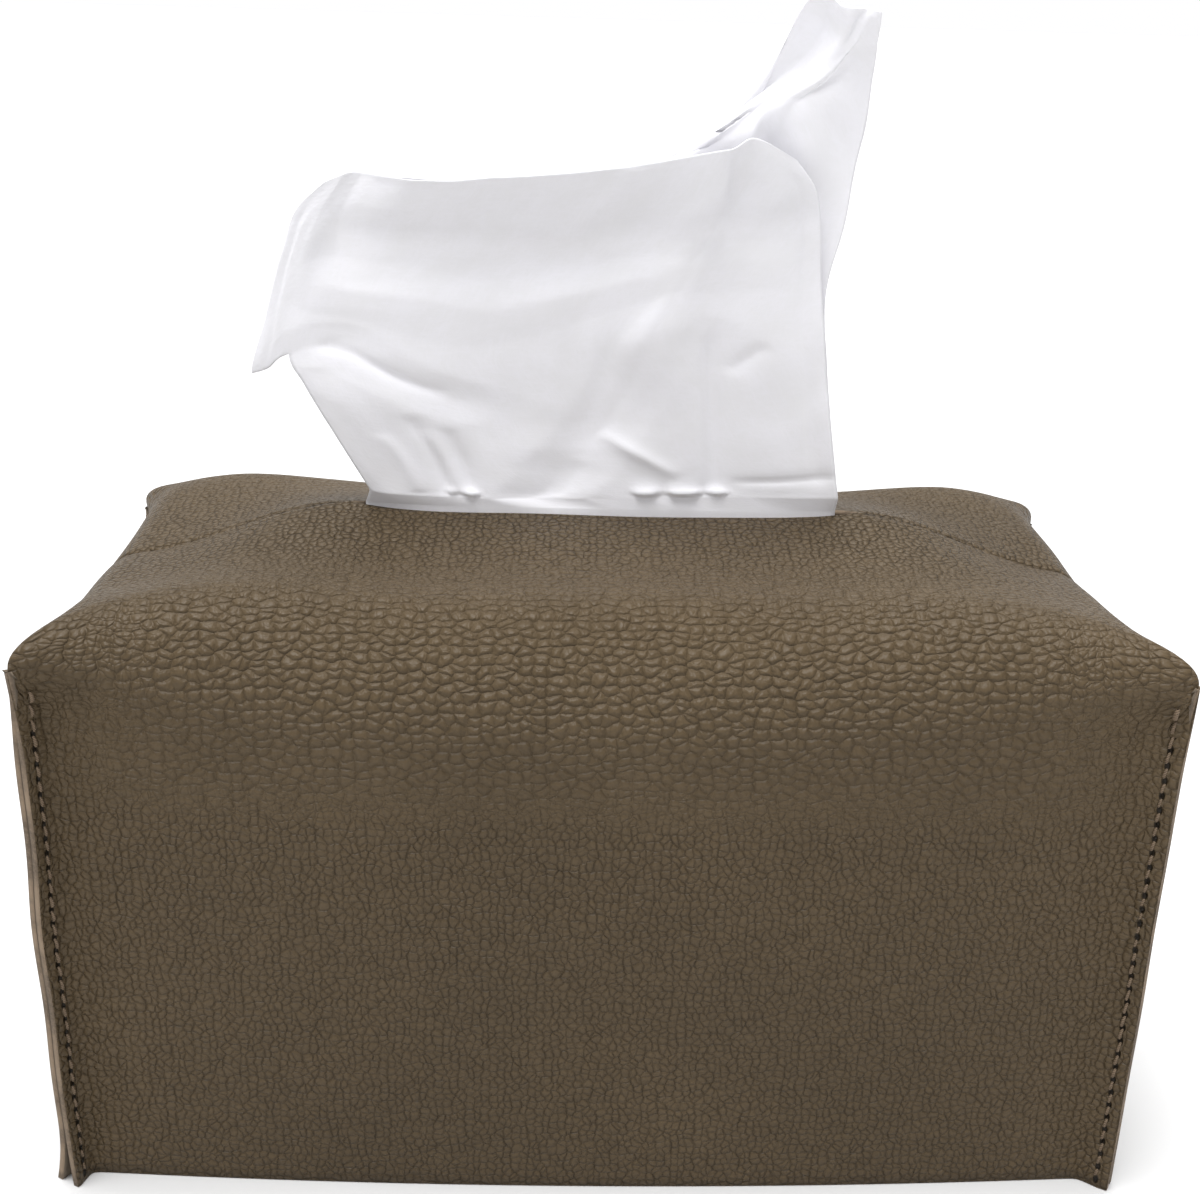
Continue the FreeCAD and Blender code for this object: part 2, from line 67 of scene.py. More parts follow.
# Form of the top, in metres.
SHOULDER_RISE = 0.0030  # rise of the shoulders towards the ends
SHOULDER_DIP = 0.0060  # their drop at the very ends
SHOULDER_SWELL = 0.0016  # soft swelling along the shoulders
BACK_SAG = 0.0018  # sag of the back edge at mid-length
BACK_DROOP = 0.0024  # droop of the back corners
DROOP_RADIUS = 0.018
FOLD_DEPTH = 0.0007  # centre crease beyond the slot
FOLD_WIDTH = 0.0016
TOP_WAVE = 0.00045  # gentle unevenness
SLOT_PRESSED = 0.0030  # how much sooner the slot's left end is shut
# Soft hollows of the top: middle along and across, half length, half width and depth.
HOLLOWS = ((-0.040, -0.030, 0.026, 0.016, 0.0016), (0.048, -0.033, 0.030, 0.015, 0.0007))

# Walls and seams, in metres.
WALL_BELLY = 0.0009  # how far a wall bulges at mid-height
WALL_WAVE = 0.0007  # its unevenness
EDGE_EASE = 0.007  # height over which a wall eases into its upper edge
BEND = 0.0011  # radius of the bend from a wall into its flange
BEND_REACH = 0.05  # how far before the bend a wall is straight
SPLAY_HEIGHT = 0.017  # height up to which the layers part towards the rim
SWAY_REACH = 0.004  # way along a flange over which its sway sets in
SEAM_WAVES = ((0.00035, 0.0135, 1.7), (0.00025, 0.0061, 2.9))  # sway: height, length, and phase from corner to corner
LAYOUT_FLANGE = 0.0045  # width of a flange in the blank's layout
FLANGE_DROP = 0.0002  # how far a flange's top lies below the wall's upper edge
FLANGE_SLOPE = 0.006  # share of its height that a flange loses towards its cut edge
PULL_RADIUS = 0.0085  # reach of the pull at a corner's tip
TIP_RUN = 0.0100  # height over which a seam is drawn out to its tip
VEER_RUN = 0.022  # height over which the cut edge veers to the tip
TIP_PAST = 0.0004  # how far the tip stands past the flange
TIP_LEAD = 0.0003  # how far the cut edge ends beyond the wall there
TIP_DROP = 0.0004  # and below it
TIP_GAP_SHARE = 0.08  # share of the half thickness that parts the layers at the tip

# Stitches, in metres.
STITCH_LEAN = 0.00022  # sideways lean of a stitch
STITCH_STRAY = 0.00005  # spread of its place
NEEDLE_SEAT = (-0.0014, 0.0030)  # move along and across the cover that seats the uppermost stitches
BOBBIN_SEAT = (0.0021, -0.0010)
HOLE_STRETCH = 0.60  # how much shorter a hole counts along the seam
HOLES_END = 0.011  # length at a seam's top with no holes

# Sheets and stack, in metres.
LEAF_SIZE = (0.150, 0.095)  # about the width and height of a standing leaf
CRUMPLE_PATCH = 0.06  # size of the patches of crumple
FRONT_CRUMPLE = 0.00020  # height of the crumple
BACK_CRUMPLE = 0.00030
TAIL_HALF = 0.0565  # half the width of the tail in the slot
TAIL_GAP = 0.0006  # gap between the tail's leaves
LIP_GAP = 0.0004  # gap from the sheet to the slot's lip
KNEE_HEIGHT = 0.1475  # height at which the sheet straightens into the slot
NEXT_INSET = 0.0004  # gap from the next sheet's top to the top of its solid
NEXT_SHIFT = 0.0003  # how far it stands behind the middle of its solid
NEXT_CURL = 0.0011  # curl of the next sheet's sides
NEXT_WAVES = ((0.00022, 9, 2), (0.00012, 23, -5))  # its waves: height, and rates across and up
NEXT_SAG = 0.0035  # unevenness of its upper edge
STACK_INSET = 0.0007  # how far the folds lie inside the stack's box
STACK_WANDER = 0.0005
STACK_FOLD = 0.0015  # depth between two folds
STACK_SAG = 0.0011  # hollow of the top

JOIN = 2e-6  # points of a piece that are nearer than this become one
CAMERA_TURNS = (2.146, 23.482, 1.709)  # yaw, pitch and roll, in degrees
CAMERA_PLACE = (-13.72, -407.19, 257.65)  # in millimetres
CAMERA_SHIFT = 0.134  # upward shift of the picture, as a share of its width

# Fold points of the standing sheet's front leaf, in millimetres, in rows from the slot to the top edge.
# Columns run from the rim of the turned-back corner over the ridge to the right edge.
FRONT_LEAF = (
    ((-60.1, -1, 155.8), (-58.2, -2.1, 153.5), (-55.3, -3.8, 150.8), (-47.6, -4.1, 150),
     (-36.3, -4.2, 149.7), (-24.9, -4.2, 149.4), (-12.5, -4.2, 149.7), (-0.1, -4.2, 150),
     (12.4, -4.2, 150.4), (25.9, -4.1, 150.8), (39.4, -4.1, 151), (56.8, -3.3, 150.9)),
    ((-68.7, 2, 170), (-65.8, -1.6, 166.7), (-62.7, -3.2, 163), (-49.5, -3.5, 160.3), (-37.3, -3.4, 159.5),
     (-25, -3.1, 158.6), (-12.7, -3.1, 158.9), (-0.3, -3.1, 160.2), (12, -3.2, 161), (25.4, -3.5, 161.4),
     (38.8, -3.3, 161.6), (54.5, -2.6, 164.4)),
    ((-76.2, 4, 177.6), (-73.8, 0.6, 176.3), (-69.9, -2.8, 175), (-56.3, -4, 172.5), (-41.2, -3.2, 171.7),
     (-25.1, -1.7, 169.7), (-12.8, -1.7, 170.5), (0.4, -2.4, 172.4), (11.5, -3.4, 173.4),
     (24.7, -3.2, 173.6), (38, -3, 173.9), (52.5, -2, 176.5)),
    ((-83, 4.8, 176.2), (-78.9, 1.6, 178), (-73.7, -2.2, 182), (-59, -3.6, 183.9), (-43.1, -2.9, 180.6),
     (-27.1, -2.1, 181.8), (-13, -2.2, 183.2), (-1, -3, 185.6), (10.8, -6.4, 187), (24, -3.6, 187.2),
     (37.1, -3.4, 187.5), (50.8, -1.6, 188.5)),
    ((-79.1, 3.6, 189.6), (-76.1, 0.8, 191.6), (-71.9, -1.9, 193.6), (-59.7, -2.8, 194),
     (-43.9, -2.5, 195.3), (-27.1, -2.3, 195.7), (-12.2, -2.3, 196), (2.6, -3, 197.4), (15.7, -7.2, 199.3),
     (25.3, -4, 199.6), (37.2, -3.6, 200.3), (49.1, -1.5, 201.2)),
    ((-74.1, 1.6, 205.1), (-71.9, -0.2, 205.8), (-68.7, -2, 205.7), (-58.4, -2.6, 205.5),
     (-43.8, -2.4, 205.8), (-27.1, -2.3, 205.3), (-11.4, -2.4, 205.7), (4.2, -3.4, 207.1),
     (19.6, -7.8, 209), (27.6, -4.8, 210.2), (37.4, -4, 211.3), (48.1, -1.8, 211.8)),
    ((-70.9, -0.2, 213.6), (-68, -1.2, 213.8), (-64, -2.4, 213.8), (-55.1, -4, 214.2), (-42.5, -4.8, 213.7),
     (-27.1, -5, 214.1), (-10.6, -5.2, 214.9), (5.7, -6.4, 216.9), (22.7, -10.2, 219.1),
     (29.1, -7.8, 219.9), (37.5, -6, 220.4), (46.2, -2.8, 221.2)),
    ((-63.8, -1.8, 220.2), (-60.8, -2.6, 221.5), (-56.7, -3.6, 222.8), (-49, -6.2, 222.1),
     (-39.3, -8.4, 221.6), (-25.1, -9, 222.7), (-9.9, -9.2, 224.1), (5.2, -10, 226.1), (22, -12, 229.6),
     (26.7, -11.2, 230.3), (32, -9.2, 232.3), (41, -4.6, 227.7)),
)
FLAP_COLUMNS = 2
FLAP_FIRST_ROW = 3

# Fold points of its back leaf, from the slot to the top edge, left to right; the last columns rise to the tall corner.
BACK_LEAF = (
    ((-55.4, -3, 150.6), (-39.4, -3.4, 148.9), (-18.7, -3.4, 149.4), (2, -3.4, 149.8), (22.8, -3.4, 150.2),
     (43.7, -3.2, 150.6), (56.4, -2.5, 150.7)),
    ((-60.2, 2, 162.9), (-41.7, 3, 163.1), (-19, 3, 163.6), (1.8, 3, 164), (22.5, 2, 164.7),
     (43.2, 1, 165.4), (54.5, 0, 165.8)),
    ((-64.2, 5, 177.6), (-43.8, 6, 178.9), (-19.2, 6, 179.5), (1.4, 5, 180.1), (21.8, 4, 181.8),
     (42, 2, 183.6), (52.4, 1, 181)),
    ((-63.9, 7, 192.4), (-43.7, 8, 194.7), (-19.3, 8, 195.3), (1, 7, 195.9), (23.1, 5, 198.7),
     (40.9, 3, 201.4), (50.7, 1, 198)),
    ((-59.5, 8, 206.1), (-41.6, 9, 208.3), (-19.5, 9, 208.9), (0.6, 8, 210.4), (22.4, 6, 214.1),
     (39.9, 2, 215), (53.9, 2, 213.4)),
    ((-55.3, 8, 216.7), (-39.5, 9, 217), (-19.6, 9, 218.5), (2.2, 8, 221), (25.7, 6, 225.5), (37, 0, 224.5),
     (55.3, 3, 224.7)),
    ((-55.2, 8, 219.1), (-37.5, 9, 219), (-17.6, 9, 220.4), (6.2, 8, 223), (28.3, 6, 233),
     (38.7, -2, 238.3), (57.2, 4, 235.7)),
    ((-55.2, 8, 220), (-35.5, 9, 219.5), (-13.7, 9, 221.5), (11, 8, 225.5), (35.6, 6, 240.6),
     (45.2, 0, 244.2), (58, 4, 246.6)),
    ((-55.2, 8, 220.7), (-33.5, 9, 220), (-9.7, 9, 222), (16, 9, 226.7), (42, 4.5, 250.7),
     (50.2, -0.5, 252.3), (58.1, 2.5, 252.9)),
    ((-55.2, 8, 221.1), (-31.5, 9, 220.3), (-5.7, 9, 222.6), (26.3, 9, 229.7), (41.6, 1.5, 260),
     (50.3, -1.5, 259.2), (57.8, 0.5, 258.6)),
)

# Broad folds of the leaves: places along the fold in shares across and up the leaf, width, and height as a share of
# the crease setting.
FRONT_FOLDS = (
    (((0.90, 1.0), (0.745, 0.72), (0.727, 0.43), (0.63, 0.21), (0.53, 0.02)), 0.080, 0.95),
    (((0.18, 0.43), (0.25, 0.445), (0.39, 0.31)), 0.070, 0.7),
    (((0.20, 1.0), (0.25, 0.72), (0.27, 0.46)), 0.060, 0.7),
    (((0.25, 0.62), (0.45, 0.54), (0.66, 0.62)), 0.080, -0.6),
    (((0.818, 0.45), (0.825, 0.05)), 0.050, 0.6),
)
BACK_FOLDS = (
    (((0.84, 0.62), (0.86, 0.84), (0.93, 1.0)), 0.060, -0.8),
    (((0.62, 0.70), (0.80, 0.99)), 0.050, 0.5),
)
# Small creases: two ends in shares across and up the leaf, width, and height as a share of the crease setting.
FRONT_CREASES = (
    ((0.24, 0.44), (0.386, 0.33), 0.016, 1.0), ((0.33, 0.235), (0.364, 0.02), 0.012, 1.2),
    ((0.38, 0.21), (0.41, 0.02), 0.012, 1.1), ((0.345, 0.20), (0.385, 0.03), 0.010, -0.9),
    ((0.80, 0.90), (0.54, 0.04), 0.030, 0.7), ((0.818, 0.43), (0.825, 0.05), 0.012, 1.0),
    ((0.80, 0.46), (0.806, 0.06), 0.014, -0.6), ((0.852, 0.36), (0.905, 0.42), 0.011, 0.8),
    ((0.637, 0.20), (0.76, 0.085), 0.012, -1.3), ((0.636, 0.98), (0.555, 0.77), 0.020, -0.7),
    ((0.46, 0.86), (0.62, 0.72), 0.030, -0.5), ((0.955, 0.90), (0.97, 0.06), 0.008, 0.8),
    ((0.86, 0.062), (1.0, 0.062), 0.008, 0.6), ((0.27, 0.18), (0.31, 0.03), 0.014, -0.7),
    ((0.60, 0.12), (0.56, 0.02), 0.014, 0.6),
)
BACK_CREASES = (
    ((0.74, 0.62), (0.93, 0.97), 0.020, 1.5), ((0.84, 0.88), (0.90, 0.99), 0.012, -1.0),
    ((0.30, 0.9), (0.45, 0.3), 0.04, 1.2), ((0.62, 0.8), (0.55, 0.2), 0.05, 1.5),
    ((0.15, 0.7), (0.25, 0.1), 0.03, -1.2), ((0.88, 0.60), (0.92, 0.15), 0.02, 0.9),
)
# Tucks where the front leaf bunches at the slot: place across, half width and height in shares, and how far it stands
# out, in metres.
FRONT_TUCKS = ((0.369, 0.012, 0.030, 0.0012), (0.406, 0.018, 0.028, 0.0015), (0.714, 0.026, 0.030, 0.0014),
               (0.777, 0.030, 0.028, 0.0015), (0.830, 0.020, 0.028, 0.0013))


def size(name, description, default):
    """A setting that is a length, in metres."""
    return FloatProperty(name=name, description=description, default=default, unit="LENGTH")


def tint(name, description, default):
    """A setting that is a colour."""
    return FloatVectorProperty(name=name, description=description, default=default, subtype="COLOR", size=3)


def power(name, description, default):
    """A setting that is the strength of a light."""
    return FloatProperty(name=name, description=description, default=default, min=0.0)


class CoverSettings(bpy.types.PropertyGroup):
    """Sizes and colours of the leatherette cover."""

    length: size("Length", "Outside length between the corner seams", 0.242)
    depth: size("Depth", "Outside depth between the corner seams", 0.132)
    bow: size("Wall bow", "How far the long walls stand out at mid-length", 0.0045)
    thickness: size("Leather", "Thickness of the leatherette", 0.0015)
    seam_height: size("Seam height", "Height of the blank's inner corners, where the seams end", 0.128)
    shoulder_height: size("Shoulder height", "Height of the long rolled shoulders at mid-length", 0.1366)
    ridge_height: size("Ridge height", "Height of the slot's lips", 0.147)
    end_height: size("End height", "Height of the centre crease above the end walls", 0.1335)
    roll: size("Shoulder roll", "Largest radius of the long rolled edges", 0.0255)
    corner_roll: size("Corner roll", "Radius of the rolled edges at the seams", 0.0025)
    end_roll: size("End roll", "Radius of the rolled short edges", 0.0100)
    slot_length: size("Slot length", "Length of the opening in the top", 0.125)
    slot_width: size("Slot width", "Width of the opening in the top", 0.010)
    flange: size("Seam allowance", "How far the sewn edges stand out at the corners", 0.005)
    seam_gap: size("Seam gap", "Gap between the two layers of a seam", 0.0003)
    grain: size("Grain size", "Height of a large pebble of the grain", 0.0020)
    colour: tint("Leather colour", "Colour of the pebbles", (0.092, 0.065, 0.036))
    # Painted shade: this darker colour is laid into the grain's creases, where shade falls.
    crease_shade_colour: tint("Painted crease shade", "Colour between the pebbles", (0.050, 0.034, 0.018))
    edge_colour: tint("Raw edge colour", "Colour of the cut edges", (0.190, 0.140, 0.095))
    backing_colour: tint("Backing colour", "Colour of the napped inside", (0.150, 0.118, 0.085))


class StitchSettings(bpy.types.PropertyGroup):
    """Sizes and colour of the sewing thread."""

    pitch: size("Pitch", "Distance from hole to hole", 0.0035)
    first: size("First hole", "Height of the first hole above the rim", 0.0020)
    count: IntProperty(name="Stitches", description="Stitches in each seam", default=35, min=1, max=80)
    margin: size("Margin", "Distance from the stitches to the cut edge", 0.0030)
    radius: size("Thread radius", "Half the thickness of the thread", 0.00038)
    hole: size("Hole radius", "Radius of a needle hole", 0.00062)
    colour: tint("Thread colour", "Colour of the thread", (0.200, 0.140, 0.088))
    # Painted shade: the darker colour between the plies stands in for the shade in their grooves.
    shade: tint("Painted ply shade", "Colour between the thread's plies", (0.090, 0.060, 0.036))


class TissueSettings(bpy.types.PropertyGroup):
    """Sizes and colours of the tissues."""

    ply: size("Sheet", "Thickness of a soft two-ply sheet", 0.0003)
    tail: size("Tail", "Height of the folded tail inside the carton", 0.0935)
    crease: size("Creases", "Height of the folds and small creases", 0.0012)
    colour: tint("Tissue colour", "Colour of the soft paper", (0.868, 0.862, 0.900))
    shade: tint("Fibre shade", "Colour of the paper's thinner places", (0.835, 0.83, 0.855))


class CartonSettings(bpy.types.PropertyGroup):
    """Colours of the carton and its film."""

    board: tint("Board colour", "Colour of the plain board", (0.78, 0.75, 0.69))
    fibre: tint("Fibre colour", "Colour of the board's fibres", (0.60, 0.55, 0.47))
    film: tint("Film tint", "Tint of the clear film", (0.86, 0.89, 0.91))


class StageSettings(bpy.types.PropertyGroup):
    """Floor, light and camera."""

    floor: tint("Floor colour", "Colour of the plain floor", (0.68, 0.68, 0.68))
    overhead: power("Overhead light", "Strength of the soft light from above", 3.8)
    behind: power("Light behind", "Strength of the soft light from above the back", 1.6)
    front: power("Front card", "Strength of the pale card in front", 0.18)
    sky: power("Surround", "Strength of the pale surround", 0.36)
    lens: FloatProperty(name="Lens", description="Focal length on a 36 mm frame, in millimetres", default=51.81,
                        min=1.0)


def smooth(low, high, value):
    """Smooth step: 0 below low, 1 above high, and 3t squared minus 2t cubed between."""
    t = np.clip((value - low) / (high - low), 0.0, 1.0)
    return t * t * (3.0 - 2.0 * t)


def waves(u, v, seed, length, count=9):
    """Gentle unevenness: twice the mean of cosine waves of about that length, in directions and phases drawn from the
    seed."""
    rng = np.random.default_rng(seed)
    turn = rng.uniform(0.0, 2.0 * np.pi, count)
    phase = rng.uniform(0.0, 2.0 * np.pi, count)
    rate = 2.0 * np.pi / (length * rng.uniform(0.7, 1.5, count))
    u, v = np.asarray(u)[..., None], np.asarray(v)[..., None]
    return np.cos(rate * (u * np.cos(turn) + v * np.sin(turn)) + phase).mean(-1) * 2.0


def spline_weights(points, samples):
    """Weights of each control point at even steps along a curve that runs through them all.

    Between two points the curve is a cubic whose slope at a point is half the step between its neighbours."""
    place = np.linspace(0.0, points - 1.0, samples)
    start = np.minimum(place.astype(int), points - 2)
    t = place - start
    cubic = np.stack([(-t + 2 * t**2 - t**3) / 2, (2 - 5 * t**2 + 3 * t**3) / 2,
                      (t + 4 * t**2 - 3 * t**3) / 2, (-t**2 + t**3) / 2], 1)
    weights = np.zeros((samples, points))
    rows = np.arange(samples)
    for k in range(4):
        np.add.at(weights, (rows, np.clip(start + k - 1, 0, points - 1)), cubic[:, k])
    return weights


def spline_net(net, rows, columns):
    """Surface through a net of points: the curve weights along the columns times the net times those along the rows."""
    net = np.asarray(net, float)
    down, over = spline_weights(net.shape[0], rows), spline_weights(net.shape[1], columns)
    return np.einsum("ra,abk,cb->rck", down, net, over)


def along_normals(points, move):
    """Moves a grid along its unit normals, the cross product of its steps along columns and rows."""
    normal = np.cross(np.gradient(points, axis=1), np.gradient(points, axis=0))
    normal = normal / np.maximum(np.linalg.norm(normal, axis=-1, keepdims=True), 1e-12)
    return points + normal * move[..., None]


def quads(rows, columns, keep=None):
    """Corner numbers of a grid's four-sided faces; keep says which faces stay."""
    k = np.arange(rows * columns).reshape(rows, columns)
    faces = np.stack([k[:-1, :-1], k[:-1, 1:], k[1:, 1:], k[1:, :-1]], -1)
    return faces[keep] if keep is not None else faces.reshape(-1, 4)


def mesh_piece(name, patches, materials, outward=None):
    """One piece from grid patches (points, uv, keep): equal points are joined, and faces that shrink to nothing go.

    outward is a direction that the faces of the first patch have to look in on the whole."""
    points, coords, faces, start = [], [], [], 0
    for grid, uv, keep in patches:
        rows, columns = grid.shape[:2]
        points.append(grid.reshape(-1, 3))
        coords.append(uv.reshape(-1, 2))
        faces.append(quads(rows, columns, keep) + start)
        start += rows * columns
    points, coords, faces = np.concatenate(points), np.concatenate(coords), np.concatenate(faces)
    steps = np.round(points / JOIN).astype(np.int64)
    _, first, joined = np.unique(steps, axis=0, return_index=True, return_inverse=True)
    used, packed = np.unique(joined.reshape(-1)[faces], return_inverse=True)
    packed = packed.reshape(-1, 4)
    ordered = np.sort(packed, 1)
    whole = np.all(ordered[:, 1:] != ordered[:, :-1], axis=1)
    packed = packed[whole]
    mesh = bpy.data.meshes.new(name)
    mesh.from_pydata(points[first][used].tolist(), [], packed.tolist())
    layer = mesh.uv_layers.new(name="UVMap")
    layer.data.foreach_set("uv", coords[faces[whole]].reshape(-1).astype(np.float32))
    mesh.polygons.foreach_set("use_smooth", np.ones(len(packed), bool))
    for material in materials:
        mesh.materials.append(material)
    shell = bmesh.new()
    shell.from_mesh(mesh)
    bmesh.ops.recalc_face_normals(shell, faces=shell.faces)
    shell.to_mesh(mesh)
    shell.free()
    if outward is not None:
        normals = np.zeros(len(mesh.polygons) * 3)
        mesh.polygons.foreach_get("normal", normals)
        grid, _, keep = patches[0]
        count = len(quads(*grid.shape[:2], keep))
        if (normals.reshape(-1, 3)[:count] @ np.asarray(outward)).sum() < 0:
            mesh.flip_normals()
    mesh.update()
    piece = bpy.data.objects.new(name, mesh)
    bpy.context.scene.collection.objects.link(piece)
    return piece


def give_thickness(piece, thickness, back=0, rim=0, offset=-1.0):
    """A Solidify modifier: the surface grows to that thickness, on its inner side if offset is -1."""
    wall = piece.modifiers.new("thickness", "SOLIDIFY")
    wall.thickness = thickness
    wall.offset = offset
    wall.use_even_offset = False
    wall.use_rim = True
    wall.material_offset = back
    wall.material_offset_rim = rim


class Nodes:
    """Short hand for filling a node tree."""

    def __init__(self, tree):
        self.tree = tree
        self.count = 0

    def feed(self, node, inputs):
        """Sets inputs of a node to values, or links sockets to them."""
        for key, value in inputs.items():
            socket = node.inputs[key]
            if isinstance(value, bpy.types.NodeSocket):
                self.tree.links.new(value, socket)
            else:
                socket.default_value = value

    def add(self, kind, inputs=None, **settings):
        """A node of that kind, with its settings and inputs."""
        node = self.tree.nodes.new(kind)
        node.location = (180 * (self.count % 9), -220 * (self.count // 9))
        self.count += 1
        for key, value in settings.items():
            setattr(node, key, value)
        self.feed(node, inputs or {})
        return node

    def math(self, operation, a, b=0.0, clamp=False):
        """Output of a Math node."""
        return self.add("ShaderNodeMath", {0: a, 1: b}, operation=operation, use_clamp=clamp).outputs[0]

    def times(self, first, *others):
        """Product of two or more values."""
        for other in others:
            first = self.math("MULTIPLY", first, other)
        return first

    def plus(self, a, b):
        """Sum of two values."""
        return self.math("ADD", a, b)

    def minus(self, a, b):
        """Difference of two values."""
        return self.math("SUBTRACT", a, b)

    def span(self, value, low, high, to_low=0.0, to_high=1.0, kind="SMOOTHSTEP"):
        """Output of a Map Range node."""
        inputs = {0: value, 1: low, 2: high, 3: to_low, 4: to_high}
        return self.add("ShaderNodeMapRange", inputs, interpolation_type=kind).outputs[0]

    def mix(self, share, a, b, blend="MIX"):
        """Colour output of a Mix node."""
        return self.add("ShaderNodeMix", {0: share, 6: a, 7: b}, data_type="RGBA", blend_type=blend).outputs[2]

    def grey(self, value):
        """A grey of that value."""
        return self.add("ShaderNodeCombineColor", {0: value, 1: value, 2: value}).outputs[0]

    def noise(self, vector, scale, detail=2.0, roughness=0.5):
        """Value of a Noise texture."""
        inputs = {"Vector": vector, "Scale": scale, "Detail": detail, "Roughness": roughness}
        return self.add("ShaderNodeTexNoise", inputs).outputs[0]

    def vector(self, operation, a, b):
        """Vector output of a Vector Math node."""
        return self.add("ShaderNodeVectorMath", {0: a, 1: b}, operation=operation).outputs[0]

    def bump(self, height, strength, distance):
        """Normal from a height."""
        return self.add("ShaderNodeBump", {"Height": height, "Strength": strength, "Distance": distance}).outputs[0]

    def layout(self):
        """A piece's own layout."""
        return self.add("ShaderNodeUVMap", uv_map="UVMap").outputs[0]

    def place(self):
        """A piece's own place."""
        return self.add("ShaderNodeTexCoord").outputs["Object"]

    def split(self, vector):
        """Parts of a vector."""
        return self.add("ShaderNodeSeparateXYZ", {0: vector}).outputs

    def fibres(self, vector, rate):
        """Outputs of the loose fibres."""
        return self.add("ShaderNodeGroup", {"Vector": vector, "Rate": rate}, node_tree=fibre_group()).outputs


def new_group(name, inputs, outputs):
    """An empty shader node group with these named sockets, and its input and output nodes."""
    tree = bpy.data.node_groups.new(name, "ShaderNodeTree")
    for label, kind, value in inputs:
        socket = tree.interface.new_socket(name=label, in_out="INPUT", socket_type=kind)
        if value is not None:
            socket.default_value = value
    for label in outputs:
        tree.interface.new_socket(name=label, in_out="OUTPUT", socket_type="NodeSocketFloat")
    nodes = Nodes(tree)
    return nodes, nodes.add("NodeGroupInput").outputs, nodes.add("NodeGroupOutput")


def new_material(name):
    """An empty material with a Principled shader."""
    material = bpy.data.materials.new(name)
    material.use_nodes = True
    material.node_tree.nodes.clear()
    nodes = Nodes(material.node_tree)
    shader = nodes.add("ShaderNodeBsdfPrincipled")
    nodes.add("ShaderNodeOutputMaterial", {0: shader.outputs[0]})
    return material, nodes, shader


def rgba(colour, share=1.0):
    """A share of a colour, with full alpha."""
    return (*(part * share for part in colour), 1.0)


def pebble_group():
    """Pebbled grain: a net of large domed cells with a net of smaller ones inside them.

    Both nets bend with a slow noise. A groove falls off from a cell's border as the square of what is left of its
    width, and a dome as the square of the distance from the cell's middle. The stretch mask widens and deepens the
    grooves of the large cells and fades out those of the small ones."""
    nodes, given, result = new_group(
        "pebbled grain",
        [("Vector", "NodeSocketVector", None), ("Pebble", "NodeSocketFloat", 0.003),
         ("Stretch", "NodeSocketFloat", 0.0), ("Relief", "NodeSocketFloat", 1.0)],
        ["Height", "Crease", "Tone"])
    stretch = given["Stretch"]

    def bent(rate, reach):
        drift = nodes.add("ShaderNodeTexNoise", {"Vector": given["Vector"], "Scale": rate, "Detail": 1.0})
        drift = nodes.vector("SUBTRACT", drift.outputs[1], (0.5, 0.5, 0.5))
        return nodes.vector("MULTIPLY", drift, (reach, reach, 0.0))

    def cells(where, pace, feature, part):
        return nodes.add("ShaderNodeTexVoronoi", {"Vector": where, "Scale": pace, "Randomness": 0.74},
                         voronoi_dimensions="2D", feature=feature).outputs[part]

    def groove(edge, width):
        left = nodes.minus(1.0, nodes.math("DIVIDE", edge, width, clamp=True))
        return nodes.math("POWER", left, 2.0)

    def stretched(plain, full):
        return nodes.span(stretch, 0.0, 1.0, plain, full, "LINEAR")

    place = nodes.vector("ADD", given["Vector"], bent(220.0, 0.0020))
    place = nodes.vector("ADD", place, bent(800.0, 0.00055))
    rate = nodes.math("DIVIDE", 1.0, given["Pebble"])
    wide = nodes.vector("MULTIPLY", place, (0.68, 1.0, 1.0))
    large_edge = cells(wide, rate, "DISTANCE_TO_EDGE", "Distance")
    large_far = cells(wide, rate, "F1", "Distance")
    inner = nodes.vector("ADD", place, (0.31, 0.17, 0.0))
    inner_rate = nodes.times(rate, 1.12)
    small_edge = cells(inner, inner_rate, "DISTANCE_TO_EDGE", "Distance")
    small_far = cells(inner, inner_rate, "F1", "Distance")
    uneven = nodes.span(nodes.noise(given["Vector"], 260.0, 1.0), 0.36, 0.60, 0.65, 1.0)

    large = nodes.times(groove(large_edge, stretched(0.24, 0.46)), stretched(0.10, 0.62))
    dome = nodes.times(nodes.math("POWER", large_far, 2.0), stretched(0.05, 1.25))
    relief = nodes.times(given["Relief"], stretched(1.0, 0.12))
    small = nodes.times(groove(small_edge, 0.30), 0.36, nodes.times(relief, uneven))
    bead = nodes.times(nodes.math("POWER", small_far, 2.0), 0.90, relief)
    height = nodes.times(nodes.noise(given["Vector"], 1050.0, 3.0, 0.6), 0.20)
    for part in (large, dome, small, bead):
        height = nodes.minus(height, part)
    # Crease mask for painting shade into the grooves; it fades on the stretched shoulders.
    line = nodes.math("MAXIMUM", nodes.span(large_edge, 0.0, 0.12, 0.7, 0.0),
                      nodes.span(small_edge, 0.0, 0.17, 1.0, 0.0))
    line = nodes.times(line, uneven, nodes.span(stretch, 0.0, 0.7, 1.0, 0.10))
    tone = nodes.add("ShaderNodeSeparateColor", {0: cells(wide, rate, "F1", "Color")}).outputs[0]
    nodes.feed(result, {"Height": height, "Crease": line, "Tone": tone})
    return nodes.tree


def fibre_group():
    """Loose fibres: stretched noise at two scales, as on napped backing, cut edges, board and soft paper."""
    tree = bpy.data.node_groups.get("loose fibres")
    if tree:
        return tree
    nodes, given, result = new_group(
        "loose fibres", [("Vector", "NodeSocketVector", None), ("Rate", "NodeSocketFloat", 900.0)], ["Fibre", "Cloud"])
    drawn, crossed = (nodes.noise(nodes.vector("MULTIPLY", given["Vector"], way), given["Rate"], 4.0, 0.65)
                      for way in ((1.0, 0.28, 1.0), (0.3, 1.0, 1.0)))
    nodes.feed(result, {"Fibre": nodes.math("MAXIMUM", drawn, crossed),
                        "Cloud": nodes.noise(given["Vector"], nodes.times(given["Rate"], 0.09), 3.0)})
    return nodes.tree


